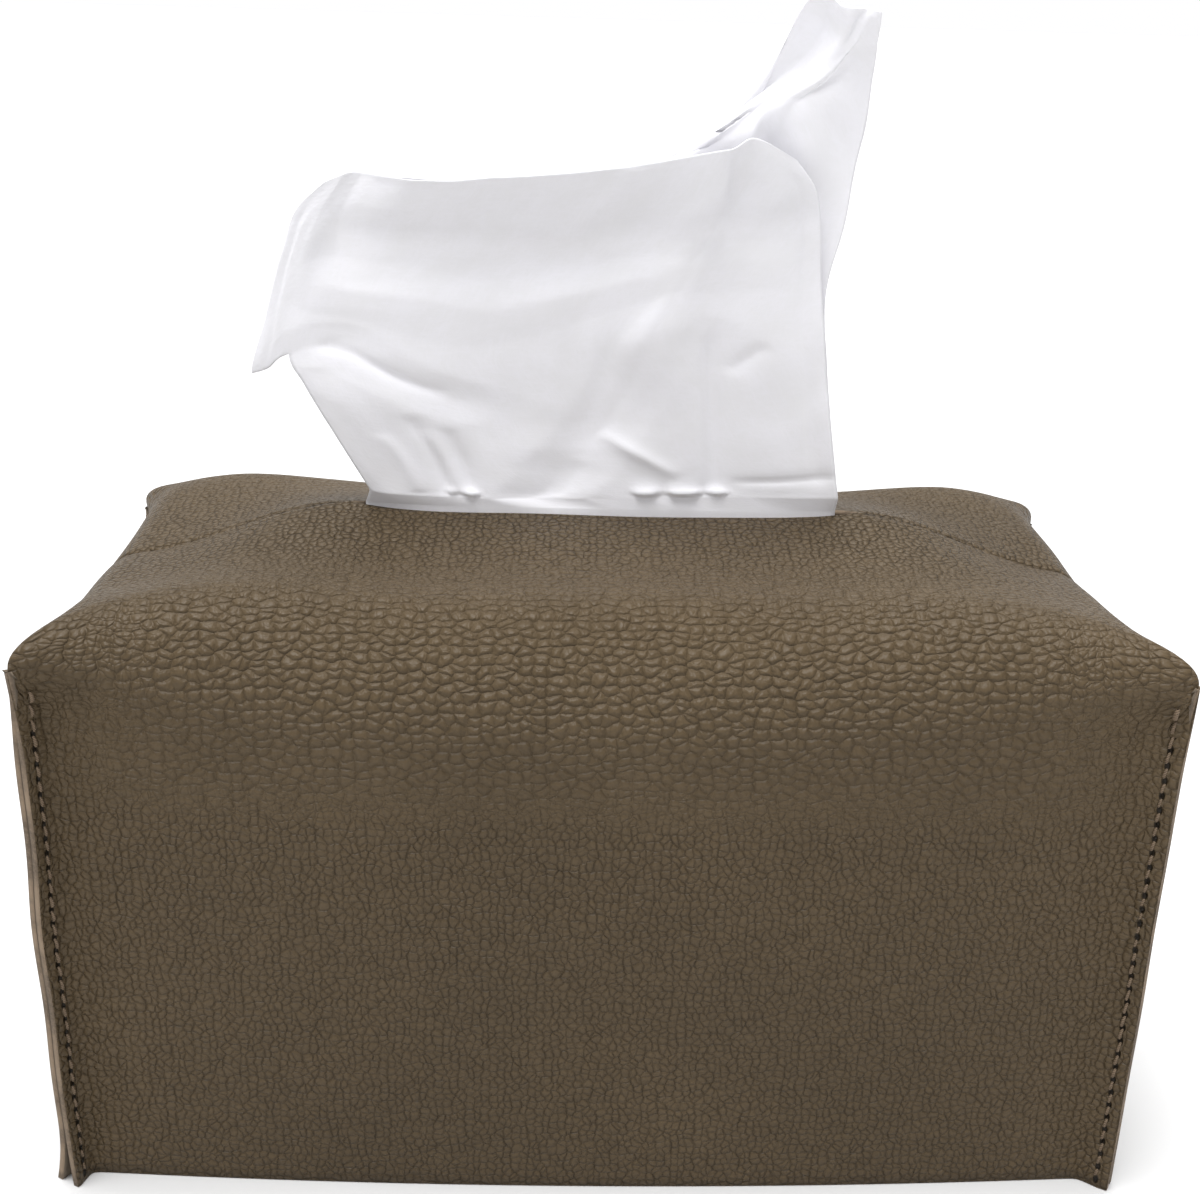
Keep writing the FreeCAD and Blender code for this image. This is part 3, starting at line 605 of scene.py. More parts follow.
def fibre_material(name, on_layout, rate, colours, flecks, clouds, rough, bump):
    """A fibrous surface on its layout or its place: the first colour with flecks of the second and clouds of the third.

    flecks and clouds are spans of the fibre and cloud values, rough is the range of roughness, and bump its strength
    and distance."""
    material, nodes, shader = new_material(name)
    fibre = nodes.fibres(nodes.layout() if on_layout else nodes.place(), rate)
    colour = nodes.mix(nodes.span(fibre["Fibre"], *flecks), colours[0], colours[1])
    nodes.feed(shader, {
        "Base Color": nodes.mix(nodes.span(fibre["Cloud"], *clouds), colour, colours[2]),
        "Roughness": nodes.span(fibre["Fibre"], 0.3, 0.8, *rough, "LINEAR"),
        "Normal": nodes.bump(fibre["Fibre"], *bump)})
    return material


def leather_material(cover, stitch):
    """Olive-brown pebbled leatherette on the blank's own layout: grain, drawn-out grain on the rolled shoulders,
    creases painted darker as shade, rubbed pebbles, and needle holes along the seams painted dark as shade."""
    material, nodes, shader = new_material("pebbled leatherette")
    uv = nodes.layout()
    split = nodes.split(uv)
    along, across = nodes.math("ABSOLUTE", split[0]), nodes.math("ABSOLUTE", split[1])
    half, deep = cover.length / 2, cover.depth / 2
    roll = nodes.times(nodes.span(across, 0.010, 0.062), nodes.span(across, 0.086, 0.104, 1.0, 0.0),
                       nodes.span(along, half * 0.72, half, 1.0, 0.25))
    relief = nodes.span(across, 0.050, 0.100, 1.7, 1.15)
    grain = nodes.add("ShaderNodeGroup", {"Vector": uv, "Pebble": cover.grain, "Stretch": roll, "Relief": relief},
                      node_tree=pebble_group()).outputs

    # Needle holes: ovals at even steps along the stitch line, on the long walls and on the end walls, dented and
    # painted dark as shade.
    def holes(out, down, edge, top):
        height = nodes.minus(top, down)
        step = nodes.math("DIVIDE", nodes.minus(height, stitch.first), stitch.pitch)
        step = nodes.times(nodes.minus(step, nodes.math("ROUND", step)), stitch.pitch, HOLE_STRETCH)
        side = nodes.minus(out, edge - stitch.margin)
        away = nodes.math("SQRT", nodes.plus(nodes.math("POWER", side, 2.0), nodes.math("POWER", step, 2.0)))
        spot = nodes.span(away, stitch.hole * 0.55, stitch.hole * 1.25, 1.0, 0.0)
        return nodes.times(spot, nodes.math("LESS_THAN", height, cover.seam_height - HOLES_END))

    holes_and_shade = nodes.math("MAXIMUM", holes(along, across, half + LAYOUT_FLANGE, deep + cover.seam_height),
                      holes(across, along, deep + LAYOUT_FLANGE, half + cover.seam_height))

    # Broken wrinkle along the centre line, from the slot's ends to the rolled short edges, dented and painted darker as
    # shade.
    slot_end = cover.slot_length / 2
    drift = nodes.times(nodes.minus(nodes.noise(uv, 90.0, 2.0), 0.5), 0.0035)
    wrinkle = nodes.span(nodes.math("ABSOLUTE", nodes.plus(split[1], drift)), 0.0002, 0.0010, 1.0, 0.0)
    wrinkle = nodes.times(wrinkle, nodes.span(along, slot_end, slot_end + 0.003),
                          nodes.span(nodes.noise(uv, 210.0, 2.0), 0.40, 0.56),
                          nodes.span(along, half * 0.90, half * 1.05, 1.0, 0.0))

    # Painted shade: the creases darken the leather colour, more on the walls than on the top and shoulders.
    crease = nodes.times(grain["Crease"], nodes.span(across, 0.040, 0.095, 0.10, 0.42))
    colour = nodes.mix(crease, rgba(cover.colour), rgba(cover.crease_shade_colour))
    # The noise patches and pebble tone are the leather's own colour; the needle holes and the centre wrinkle darken it
    # as painted shade.
    shade = nodes.times(nodes.span(nodes.noise(uv, 11.0, 3.0, 0.55), 0.3, 0.7, 0.90, 1.10, "LINEAR"),
                        nodes.span(grain["Tone"], 0.0, 1.0, 0.95, 1.05, "LINEAR"),
                        nodes.span(holes_and_shade, 0.0, 1.0, 1.0, 0.12, "LINEAR"),
                        nodes.span(wrinkle, 0.0, 1.0, 1.0, 0.45, "LINEAR"))
    height = nodes.minus(nodes.minus(grain["Height"], nodes.times(holes_and_shade, 1.6)), nodes.times(wrinkle, 0.9))
    nodes.feed(shader, {
        "Base Color": nodes.mix(1.0, colour, nodes.grey(shade), "MULTIPLY"),
        "Roughness": nodes.span(grain["Height"], -0.8, 0.1, 0.50, 0.38, "LINEAR"),
        "Normal": nodes.bump(height, 1.0, 0.00066),
        "Specular IOR Level": 0.17})
    return material


def edge_material(cover):
    """Cut edge of the leatherette: paler and fibrous, with worn places."""
    colour = cover.edge_colour
    return fibre_material("raw leatherette edge", False, 1300.0, (rgba(colour, 0.55), rgba(colour), rgba(colour, 1.35)),
                          (0.42, 0.72), (0.40, 0.66), (0.95, 0.80), (0.6, 0.0003))


def backing_material(cover):
    """Napped inside of the leatherette."""
    colour = cover.backing_colour
    return fibre_material("napped backing", True, 700.0, (rgba(colour, 0.7), rgba(colour), rgba(colour, 1.15)),
                          (0.40, 0.75), (0.35, 0.7), (0.98, 0.88), (0.5, 0.0003))


def board_material(carton):
    """Plain pale board: pressed fibres and slight clouding."""
    colours = (rgba(carton.board), rgba(carton.fibre), rgba(carton.board, 0.86))
    return fibre_material("plain board", False, 800.0, colours,
                          (0.58, 0.78, 0.0, 0.45), (0.35, 0.75, 0.0, 0.35), (0.62, 0.80), (0.25, 0.0002))


def thread_material(stitch):
    """Twisted sewing thread: plies as slanted bands on the thread's own layout, painted darker between the plies as
    shade.
    """
    material, nodes, shader = new_material("twisted thread")
    split = nodes.split(nodes.layout())
    turn = nodes.plus(nodes.times(split[0], 5.0), nodes.times(split[1], 3.0))
    band = nodes.math("ABSOLUTE", nodes.math("SINE", nodes.times(turn, math.pi)))
    fuzz = nodes.noise(nodes.place(), 2600.0, 3.0, 0.6)
    mixed = nodes.times(nodes.span(band, 0.1, 0.8), nodes.span(fuzz, 0.2, 0.7, 0.6, 1.0))
    # Painted shade: the thread shade colour fills the grooves between the plies.
    nodes.feed(shader, {
        "Base Color": nodes.mix(mixed, rgba(stitch.shade), rgba(stitch.colour)),
        "Roughness": nodes.span(fuzz, 0.2, 0.8, 0.62, 0.85, "LINEAR"),
        "Normal": nodes.bump(band, 0.7, 0.0002)})
    return material


def tissue_material(tissue):
    """Soft white paper: cloudy fibres, a faint crepe across the sheet and an embossed band along its hems, painted
    darker there as shade.
    """
    material = bpy.data.materials.get("soft tissue")
    if material:
        return material
    material, nodes, shader = new_material("soft tissue")
    uv = nodes.layout()
    split = nodes.split(uv)
    fibre = nodes.fibres(uv, 1100.0)
    # The hem band is embossed, and its colour is painted darker as shade.
    hem = nodes.math("MAXIMUM", nodes.span(split[1], 0.013, 0.019, 0.6, 0.0),
                     nodes.span(split[0], 0.008, 0.015, 1.0, 0.0))
    hem_painted_shade = nodes.grey(nodes.span(hem, 0.0, 1.0, 1.0, 0.88, "LINEAR"))
    cloud = nodes.times(fibre["Cloud"], fibre["Fibre"])
    paper = nodes.mix(nodes.span(cloud, 0.12, 0.42), rgba(tissue.shade), rgba(tissue.colour))
    crepe = nodes.noise(nodes.vector("MULTIPLY", uv, (0.25, 1.0, 1.0)), 1500.0, 2.0)
    height = nodes.plus(fibre["Fibre"], nodes.times(crepe, 0.7))
    height = nodes.plus(height, nodes.times(hem, nodes.times(nodes.noise(uv, 800.0, 1.0), 2.5)))
    nodes.feed(shader, {
        "Base Color": nodes.mix(1.0, paper, hem_painted_shade, "MULTIPLY"),
        "Roughness": nodes.span(fibre["Fibre"], 0.3, 0.8, 0.97, 0.86, "LINEAR"),
        "Normal": nodes.bump(height, 0.25, 0.00012),
        "Specular IOR Level": 0.15})
    return material


def film_material(carton):
    """Clear film with faint draw lines."""
    material, nodes, shader = new_material("clear film")
    lines = nodes.noise(nodes.vector("MULTIPLY", nodes.place(), (14.0, 260.0, 1.0)), 1.0, 3.0)
    nodes.feed(shader, {
        "Base Color": nodes.mix(nodes.span(lines, 0.35, 0.7), rgba(carton.film), rgba(carton.film, 0.93)),
        "Roughness": nodes.span(lines, 0.3, 0.7, 0.10, 0.22, "LINEAR"),
        "Alpha": nodes.span(lines, 0.3, 0.7, 0.22, 0.38, "LINEAR"),
        "Normal": nodes.bump(lines, 0.2, 0.0004)})
    return material


def floor_material(stage):
    """Pale floor with the least clouding."""
    material, nodes, shader = new_material("pale floor")
    cloud = nodes.noise(nodes.place(), 3.0, 2.0)
    nodes.feed(shader, {
        "Base Color": nodes.mix(nodes.span(cloud, 0.3, 0.7), rgba(stage.floor), rgba(stage.floor, 0.985)),
        "Roughness": 0.9,
        "Specular IOR Level": 0.1})
    return material


def wall_depth(cover, x):
    """Distance of the long walls from the middle: half the depth, and more by the bow towards mid-length."""
    share = np.abs(x) / (cover.length / 2)
    return cover.depth / 2 + cover.bow * (1.0 - np.minimum(share, 1.0) ** 2)


def roll_radius(cover, x):
    """Radius of the rolled shoulders: full at mid-length, and drawn in to the corner roll at the seams."""
    share = np.minimum(np.abs(x) / (cover.length / 2), 1.0)
    return cover.corner_roll + (cover.roll - cover.corner_roll) * (1.0 - share**4) ** 0.8


def top_height(cover, x, y):
    """Height of the top before its edges roll off: shoulder height plus the ridge, which fades towards the ends, with a
    narrow centre crease beyond the slot, soft hollows, and a back edge that sags at mid-length and at its corners."""
    half, slot_end = cover.length / 2, cover.slot_length / 2
    s = np.minimum(np.abs(x) / half, 1.0)
    q = np.minimum(np.abs(y) / wall_depth(cover, x), 1.0)
    shoulder = cover.shoulder_height + SHOULDER_RISE * smooth(0.40, 0.82, s) - SHOULDER_DIP * s**12
    ridge = cover.ridge_height + (cover.end_height - cover.ridge_height) * smooth(0.50, 0.97, s)
    height = shoulder + (ridge - shoulder) * (1.0 - q) ** 1.2
    height = height + SHOULDER_SWELL * np.exp(-(((q - 0.72) / 0.2) ** 2)) * (1 - s**6)
    back = smooth(0.1, 0.7, y / (cover.depth / 2))
    droop = np.exp(-((half - np.abs(x)) ** 2 + (wall_depth(cover, x) - y) ** 2) / DROOP_RADIUS**2)
    height = height - back * (BACK_SAG * (1.0 - smooth(0.45, 0.80, s)) + BACK_DROOP * droop)
    for middle_x, middle_y, length, width, depth in HOLLOWS:
        height = height - depth * np.exp(-(((x - middle_x) / length) ** 2) - ((y - middle_y) / width) ** 2)
    fold = np.exp(-((y / FOLD_WIDTH) ** 2)) * smooth(slot_end - 0.004, slot_end + 0.008, np.abs(x))
    return height - FOLD_DEPTH * fold + TOP_WAVE * waves(x, y, 3, 0.050)


def roll_drop(distance, radius):
    """How far a rolled edge has dropped at a distance inside the straight line of the edge: a quarter circle."""
    t = np.clip(1.0 - distance / radius, 0.0, 1.0)
    return radius * (1.0 - np.sqrt(1.0 - t * t))


def column_places(cover):
    """Places along the length: even steps, and steps of a quarter circle round the end rolls."""
    half, roll = cover.length / 2, cover.end_roll
    core = np.linspace(0.0, half - roll, 56)
    end = half - roll + roll * np.sin(np.linspace(0.0, np.pi / 2, 13)[1:])
    side = np.concatenate([core, end])
    return np.concatenate([-side[:0:-1], side])


def slot_lip(cover, x):
    """Half the slot's opening: widest in the middle, a quartic that closes at its ends, the left one pressed shut
    sooner."""
    end = np.where(x < 0, cover.slot_length / 2 - SLOT_PRESSED, cover.slot_length / 2)
    return cover.slot_width / 2 * np.clip(1.0 - np.abs(x / end) ** 4, 0.0, 1.0) ** 0.7


def top_half(cover, x, side):
    """Half of the top, from the wall's upper edge (row 0) over the roll to the lip of the slot, on the side -1 or 1."""
    half = cover.length / 2
    deep, radius = wall_depth(cover, x), roll_radius(cover, x)
    lip = slot_lip(cover, x)
    angle = np.linspace(np.pi / 2, 0.0, 16)[:, None]
    rolled = deep - radius + radius * np.sin(angle)
    k = 1.0 - (1.0 - np.linspace(0.0, 1.0, 29)[1:, None]) ** 1.5
    level = (deep - radius) * (1.0 - k) + lip * k
    away = np.concatenate([rolled, level])
    width = np.broadcast_to(x, away.shape)
    end_radius = cover.corner_roll + (cover.end_roll - cover.corner_roll) * (1.0 - (away / deep) ** 5)
    drop = roll_drop(deep - away, radius) + roll_drop(half - np.abs(width), end_radius)
    drop[0] = radius + roll_drop(half - np.abs(x), end_radius[0])
    height = top_height(cover, width, side * away) - drop
    points = np.stack([width, side * away, height], -1)
    run = np.concatenate([np.zeros((1, len(x))), np.cumsum(np.linalg.norm(np.diff(points, axis=0), axis=-1), 0)])
    outer = cover.depth / 2 + cover.seam_height - height[0]
    v = side * (lip + (outer - lip) * (1.0 - run / run[-1]))
    reach = half + cover.seam_height - height[:, -1:]
    over = np.clip((np.abs(width) - half + cover.end_roll) / cover.end_roll, 0, 1)
    u = width + np.sign(width) * (reach - half) * over**3
    return points, np.stack([u, v], -1)


def corner_name(x_sign, y_sign):
    """Name of the corner on these sides."""
    return ("front" if y_sign < 0 else "back") + ("_left" if x_sign < 0 else "_right")


def corner_signs(corner):
    """Signs of x and y at a corner."""
    return (-1.0 if corner.endswith("left") else 1.0), (-1.0 if corner.startswith("front") else 1.0)


def seam_facts(cover, corner):
    """Direction of a seam's flange and of its face on the long wall's side, in lengths away from the middle, the half
    thickness of its two layers, and its turn."""
    turn = math.radians(SEAM_TURNS[corner])
    out, face = np.array([math.cos(turn), math.sin(turn)]), np.array([-math.sin(turn), math.cos(turn)])
    return out, face, cover.thickness + cover.seam_gap / 2, turn


def seam_sway(corner, z):
    """Sideways wander of a seam with height, in metres, from two slow waves."""
    k = CORNERS.index(corner)
    return sum(height * np.sin(z / length + phase * k) for height, length, phase in SEAM_WAVES)


def seam_splay(corner, z):
    """How far a seam's layers part at a height: most at the rim, and less with the square of the way up."""
    return SEAM_SPLAYS[corner] * np.clip(1.0 - z / SPLAY_HEIGHT, 0, 1) ** 2


def seam_start(cover, corner, long_wall):
    """The way from a wall's middle to the bend into its flange."""
    _, _, layers, turn = seam_facts(cover, corner)
    return cover.length / 2 - layers / math.sin(turn) if long_wall else cover.depth / 2 - layers / math.cos(turn)


def seam_run(cover, corner, p, z, long_wall):
    """Where the leather goes near a corner: along its wall, then over a small bend out along the flange.

    p is the way from the wall's middle. The bend is a soft ramp, half of e plus the root of e squared plus a small
    radius squared, where e is the way past the bend. Returns places away from the middle."""
    out, face, _, _ = seam_facts(cover, corner)
    start = seam_start(cover, corner, long_wall)
    past = p - start
    ramp = (past + np.sqrt(past**2 + BEND**2)) / 2
    ramp = np.maximum(ramp - BEND**2 / (4 * BEND_REACH), 0.0)
    wall = start + past - ramp
    splay = seam_splay(corner, z)
    shift = (seam_sway(corner, z) + (splay if long_wall else -splay)) * np.clip(ramp / SWAY_REACH, 0, 1.3)
    if long_wall:
        x, y = wall, wall_depth(cover, wall)
    else:
        x, y = cover.length / 2, wall
    return x + ramp * out[0] + shift * face[0], y + ramp * out[1] + shift * face[1]


def seam_reach(cover, corner, long_wall):
    """The way from a wall's middle to the cut edge of its flange."""
    _, _, layers, turn = seam_facts(cover, corner)
    lap = layers / math.tan(turn) if long_wall else layers * math.tan(turn)
    return seam_start(cover, corner, long_wall) + cover.flange + lap


def corner_pull(cover, points):
    """Draws the top of each seam out to a soft tip.

    Points near a corner move out along its flange, by the flange's width times a bell of their distance from the
    corner and a step that rises over the seam's last centimetre."""
    for corner in CORNERS:
        sx, sy = corner_signs(corner)
        out = seam_facts(cover, corner)[0]
        a = np.minimum(sx * points[..., 0] - cover.length / 2, 0.0)
        b = np.minimum(sy * points[..., 1] - cover.depth / 2, 0.0)
        near = np.exp(-(a * a + b * b) / PULL_RADIUS**2)
        high = smooth(cover.seam_height - TIP_RUN, cover.seam_height + 0.0002, points[..., 2])
        move = (cover.flange + TIP_PAST) * near * high
        points = points + move[..., None] * np.array([sx * out[0], sy * out[1], 0.0])
    return points


def tip_flange(cover, corner, run, root, share, long_wall):
    """Leads a flange's cut edge to the tip of its seam.

    Over the last stretch the cut edge veers to a goal just past the tip, and over the last centimetre the columns
    between become even steps from the wall (root) to that edge. share is each column's part of the way out."""
    out, face, layers, _ = seam_facts(cover, corner)
    level = TIP_GAP_SHARE * layers if long_wall else -TIP_GAP_SHARE * layers
    past = np.array(corner_signs(corner)) * (TIP_LEAD * out + level * face)
    goal = root[-1, 0] + np.array([*past, -TIP_DROP])
    rise, top = run[..., 2:], root[-1, 0, 2]
    run = run + share * smooth(top - VEER_RUN, top, rise) * (goal - run[-1, -1])
    even = root + share * (run[:, -1:] - root)
    return run + smooth(top - TIP_RUN, top, rise) * (even - run)


def wall_patch(cover, edge, long_wall, side):
    """A wall with its two seam flanges, from the rim (row 0) to its upper edge, which is the given row of points.

    Rows rise evenly. Near a corner the columns follow the seam's run, and over the last few millimetres they ease back
    to the edge. Extra columns carry each flange out to its cut edge."""
    half, deep = cover.length / 2, cover.depth / 2
    limit, top = (half, deep + cover.seam_height) if long_wall else (deep, half + cover.seam_height)
    rows = np.linspace(0.0, 1.0, 46)[:, None]
    along = edge[:, 0] if long_wall else edge[:, 1]
    z = rows * edge[:, 2]

    def corner_at(sign):
        return corner_name(sign, side) if long_wall else corner_name(side, sign)

    def leather(corner, p, height):
        a, b = seam_run(cover, corner, p, height, long_wall)
        sx, sy = corner_signs(corner)
        return np.stack([sx * a, sy * b], -1)

    def layout(out, height):
        down = side * (top - height)
        return np.stack([out, down] if long_wall else [down, out], -1)

    xy = np.zeros(z.shape + (2,))
    for sign in (-1.0, 1.0):
        here = along * sign >= 0
        xy[:, here] = leather(corner_at(sign), np.abs(along[here])[None, :], z[:, here])
    straight = np.broadcast_to(edge[:, :2], xy.shape)
    arch, far = np.sin(np.pi * rows), np.abs(along) / limit
    uneven = waves(along[None, :] + 0 * z, z, 11 + int(3 * side) + 7 * long_wall, 0.055)
    belly = WALL_BELLY * arch * (1 - far**4) + WALL_WAVE * uneven * arch * (1 - far**8)
    xy = straight + (xy - straight) * smooth(0.0, EDGE_EASE, edge[:, 2] - z)[..., None]
    xy[..., 1 if long_wall else 0] += side * belly
    main = np.concatenate([xy, z[..., None]], -1)
    main[-1] = edge
    wall = corner_pull(cover, main)
    grids, coords = [wall], [layout(np.broadcast_to(along, z.shape), z)]
    for sign, end in ((-1.0, slice(0, 1)), (1.0, slice(-1, None))):
        corner = corner_at(sign)
        reach = seam_reach(cover, corner, long_wall)
        p = np.linspace(limit, reach, 7)[1:]
        share = (p - limit) / (reach - limit)
        rise = np.concatenate([z[:-1, end], edge[end, 2:] - FLANGE_DROP]) * np.ones(len(p))
        rise = rise * (1.0 - FLANGE_SLOPE * share)
        run = np.concatenate([leather(corner, p[None, :] + 0 * rise, rise), rise[..., None]], -1)
        flange = tip_flange(cover, corner, run, wall[:, end], share[None, :, None], long_wall)
        coat = layout(sign * (limit + LAYOUT_FLANGE - (reach - p))[None, :] + 0 * rise, rise)
        if sign < 0:
            grids.insert(0, flange[:, ::-1])
            coords.insert(0, coat[:, ::-1])
        else:
            grids.append(flange)
            coords.append(coat)
    return np.concatenate(grids, 1), np.concatenate(coords, 1)


class COVER_OT_shell(bpy.types.Operator):
    """Build the leatherette cover from one cross-shaped blank with four sewn corners"""

    bl_idname = "tissue_cover.shell"
    bl_label = "Leatherette cover"

    def execute(self, context):
        cover, stitch = context.scene.tissue_cover, context.scene.tissue_stitch
        x = column_places(cover)
        front, front_uv = top_half(cover, x, -1.0)
        back, back_uv = top_half(cover, x, 1.0)
        patches = [(corner_pull(cover, front), front_uv, None), (corner_pull(cover, back), back_uv, None)]
        for side, half_top in ((-1.0, front), (1.0, back)):
            patches.append((*wall_patch(cover, half_top[0], True, side), None))
        for side, column in ((-1.0, 0), (1.0, -1)):
            edge = np.concatenate([front[:, column], back[::-1, column][1:]])
            patches.append((*wall_patch(cover, edge, False, side), None))
        materials = [leather_material(cover, stitch), backing_material(cover), edge_material(cover)]
        piece = mesh_piece("sewn_leather_cover", patches, materials, (0.0, 0.0, 1.0))
        give_thickness(piece, cover.thickness, back=1, rim=2)
        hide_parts("leather_cover")
        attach(piece, "cover")
        return {"FINISHED"}


def stitch_row(cover, stitch, corner, long_wall):
    """One thread's row of stitches on a seam's face.

    Each stitch is a tube along a low arch from hole to hole, leaning a little; its radius swells in the middle and
    carries two slanted plies, a cosine of twice the angle turning along the stitch. Near the tip the row moves with the
    leather that is drawn out there."""
    out, face, layers, _ = seam_facts(cover, corner)
    sx, sy = corner_signs(corner)
    rng = np.random.default_rng(40 + CORNERS.index(corner) + 10 * long_wall)
    count = stitch.count
    tau = np.linspace(0.0, 1.0, 9)
    foot = stitch.first + stitch.pitch * np.arange(count)
    z = foot[:, None] + stitch.pitch * (0.06 + 0.88 * tau)
    lift = stitch.radius * (1.55 * np.sin(np.pi * tau) ** 0.55 - 0.85) * rng.uniform(0.85, 1.12, (count, 1))
    lean = STITCH_LEAN * (tau - 0.5) * 2 + rng.normal(0.0, STITCH_STRAY, (count, 1))
    swell = stitch.radius * (0.72 + 0.34 * np.sin(np.pi * tau) ** 0.7) * rng.uniform(0.92, 1.08, (count, 1))
    swell[-1] *= 1.6 if corner == "front_right" else 1.1
    angle = np.linspace(0.0, 2 * np.pi, 9)
    radius = swell[:, :, None] * (1.0 + 0.10 * np.cos(2 * angle[None, None, :] + 5.0 * tau[None, :, None]))
    rise, wide = lift[:, :, None] + radius * np.sin(angle), lean[:, :, None] + radius * np.cos(angle)
    level = layers + rise + seam_splay(corner, z)[:, :, None] * 0.5
    level = (level if long_wall else -level) + seam_sway(corner, z)[:, :, None] * 0.55
    go = cover.flange - stitch.margin + wide
    tall = np.broadcast_to(z[:, :, None], level.shape)
    seat = smooth(cover.seam_height - TIP_RUN, cover.seam_height, tall) * (1.0 if sy < 0 else 0.75)
    seat_x, seat_y = NEEDLE_SEAT if long_wall else BOBBIN_SEAT
    a = cover.length / 2 + go * out[0] + level * face[0] + seat_x * seat
    b = cover.depth / 2 + go * out[1] + level * face[1] + seat_y * seat
    points = np.stack([sx * a, sy * b, tall], -1)
    along = np.arange(count)[:, None, None] + tau[None, :, None]
    uv = np.stack(np.broadcast_arrays(along, angle[None, None, :] / (2 * np.pi)), -1)
    return [(points[k], uv[k], None) for k in range(count)]


class COVER_OT_stitches(bpy.types.Operator):
    """Sew the four corners: a needle thread on each long wall's side and a bobbin thread on each end's side"""

    bl_idname = "tissue_cover.stitches"
    bl_label = "Corner stitches"

    def execute(self, context):
        cover, stitch = context.scene.tissue_cover, context.scene.tissue_stitch
        material = thread_material(stitch)
        for corner in CORNERS:
            for kind, long_wall in (("needle", True), ("bobbin", False)):
                row = stitch_row(cover, stitch, corner, long_wall)
                piece = mesh_piece(f"{kind}_stitches_{corner}", row, [material])
                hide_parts(f"{kind}_thread_{corner}")
                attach(piece, "cover")
        return {"FINISHED"}


def grid_places(points, wide=1.0, high=1.0):
    """Places of a grid's points across and up it, in even steps."""
    rows, columns = points.shape[:2]
    return np.meshgrid(np.linspace(0, wide, columns), np.linspace(0, high, rows))


def from_line(u, v, start, end):
    """Share of the way along a line, and distance from the line, of each place."""
    (u0, v0), (u1, v1) = start, end
    du, dv = u1 - u0, v1 - v0
    t = ((u - u0) * du + (v - v0) * dv) / (du * du + dv * dv)
    near = np.clip(t, 0, 1)
    return t, np.hypot(u - u0 - near * du, v - v0 - near * dv)


def creased(points, creases, depth):
    """Moves a grid along its normals by small creases.

    A crease's height falls off as the exponent of minus the distance over the width, and fades out at both ends."""
    u, v = grid_places(points)
    move = np.zeros(u.shape)
    for start, end, width, height in creases:
        t, away = from_line(u, v, start, end)
        fade = np.sin(np.pi * np.clip(t * 0.9 + 0.05, 0, 1)) ** 0.5
        move += height * depth * fade * np.exp(-np.sqrt(away**2 + (0.25 * width) ** 2) / width)
    return along_normals(points, move)


def folded(points, folds, depth):
    """Moves a grid along its normals by broad folds with a sharp ridge.

    A fold's height falls off evenly from its line to nothing at its width."""
    u, v = grid_places(points)
    move = np.zeros(u.shape)
    for line, width, height in folds:
        away = np.min([from_line(u, v, start, end)[1] for start, end in zip(line, line[1:])], 0)
        move += height * depth * np.maximum(0.0, 1.0 - away / width)
    return along_normals(points, move)


def crumpled(points, seed, height):
    """Moves a grid along its normals by faint straight creases: triangle waves in drawn directions, each kept to drawn
    patches by a slow wave."""
    u, v = grid_places(points, *LEAF_SIZE)
    rng = np.random.default_rng(seed)
    move = np.zeros(u.shape)
    for k in range(8):
        turn, length, phase = rng.uniform(0, np.pi), rng.uniform(0.014, 0.036), rng.uniform(0, 1)
        drift = 0.20 * waves(u, v, seed + 20 + k, CRUMPLE_PATCH)
        t = (u * math.cos(turn) + v * math.sin(turn)) / length + phase + drift
        patch = np.clip(waves(u, v, seed + k, CRUMPLE_PATCH) + 0.1, 0.0, 1.0)
        move += (4.0 * np.abs(t - np.floor(t + 0.5)) - 1.0) * patch
    return along_normals(points, height * move)


def tucked(points, tucks):
    """Draws small tucks out of a grid at its foot: each stands out most along its upper edge, narrows to a point at the
    foot, and ends quickly above that edge."""
    u, v = grid_places(points)
    for place, half, high, out in tucks:
        share = np.clip(v / high, 0.0, 1.0)
        side = np.clip((half * (0.15 + 0.85 * share) - np.abs(u - place)) / 0.010, 0.0, 1.0)
        above = np.exp(-np.maximum(v - high, 0.0) / 0.012)
        points = points - np.array([0.0, 1.0, 0.0]) * (out * share * side * above)[..., None]
    return points


def flap_columns(columns):
    """How many of a grid's columns belong to the turned-back corner."""
    return int(round(FLAP_COLUMNS / (len(FRONT_LEAF[0]) - 1) * (columns - 1)))


def sheet_grid(tissue):
    """The pulled sheet's front and back leaf as grids from the slot to the top edge.

    The leaves are nets of fold points drawn smooth, with folds, crumple, creases and tucks. The back leaf has no
    turned-back corner, so it starts where the front leaf's ridge does."""
    rows, columns = 113, 121
    front = spline_net(np.array(FRONT_LEAF) * MM, rows, columns)
    front = crumpled(folded(front, FRONT_FOLDS, -tissue.crease), 61, FRONT_CRUMPLE)
    front = tucked(creased(front, FRONT_CREASES, -tissue.crease), FRONT_TUCKS)
    flap = flap_columns(columns)
    back = spline_net(np.array(BACK_LEAF) * MM, rows, columns - flap)
    back = crumpled(folded(back, BACK_FOLDS, tissue.crease), 83, BACK_CRUMPLE)
    back = creased(back, BACK_CREASES, tissue.crease)
    return front, np.concatenate([np.repeat(back[:, :1], flap, axis=1), back], 1)


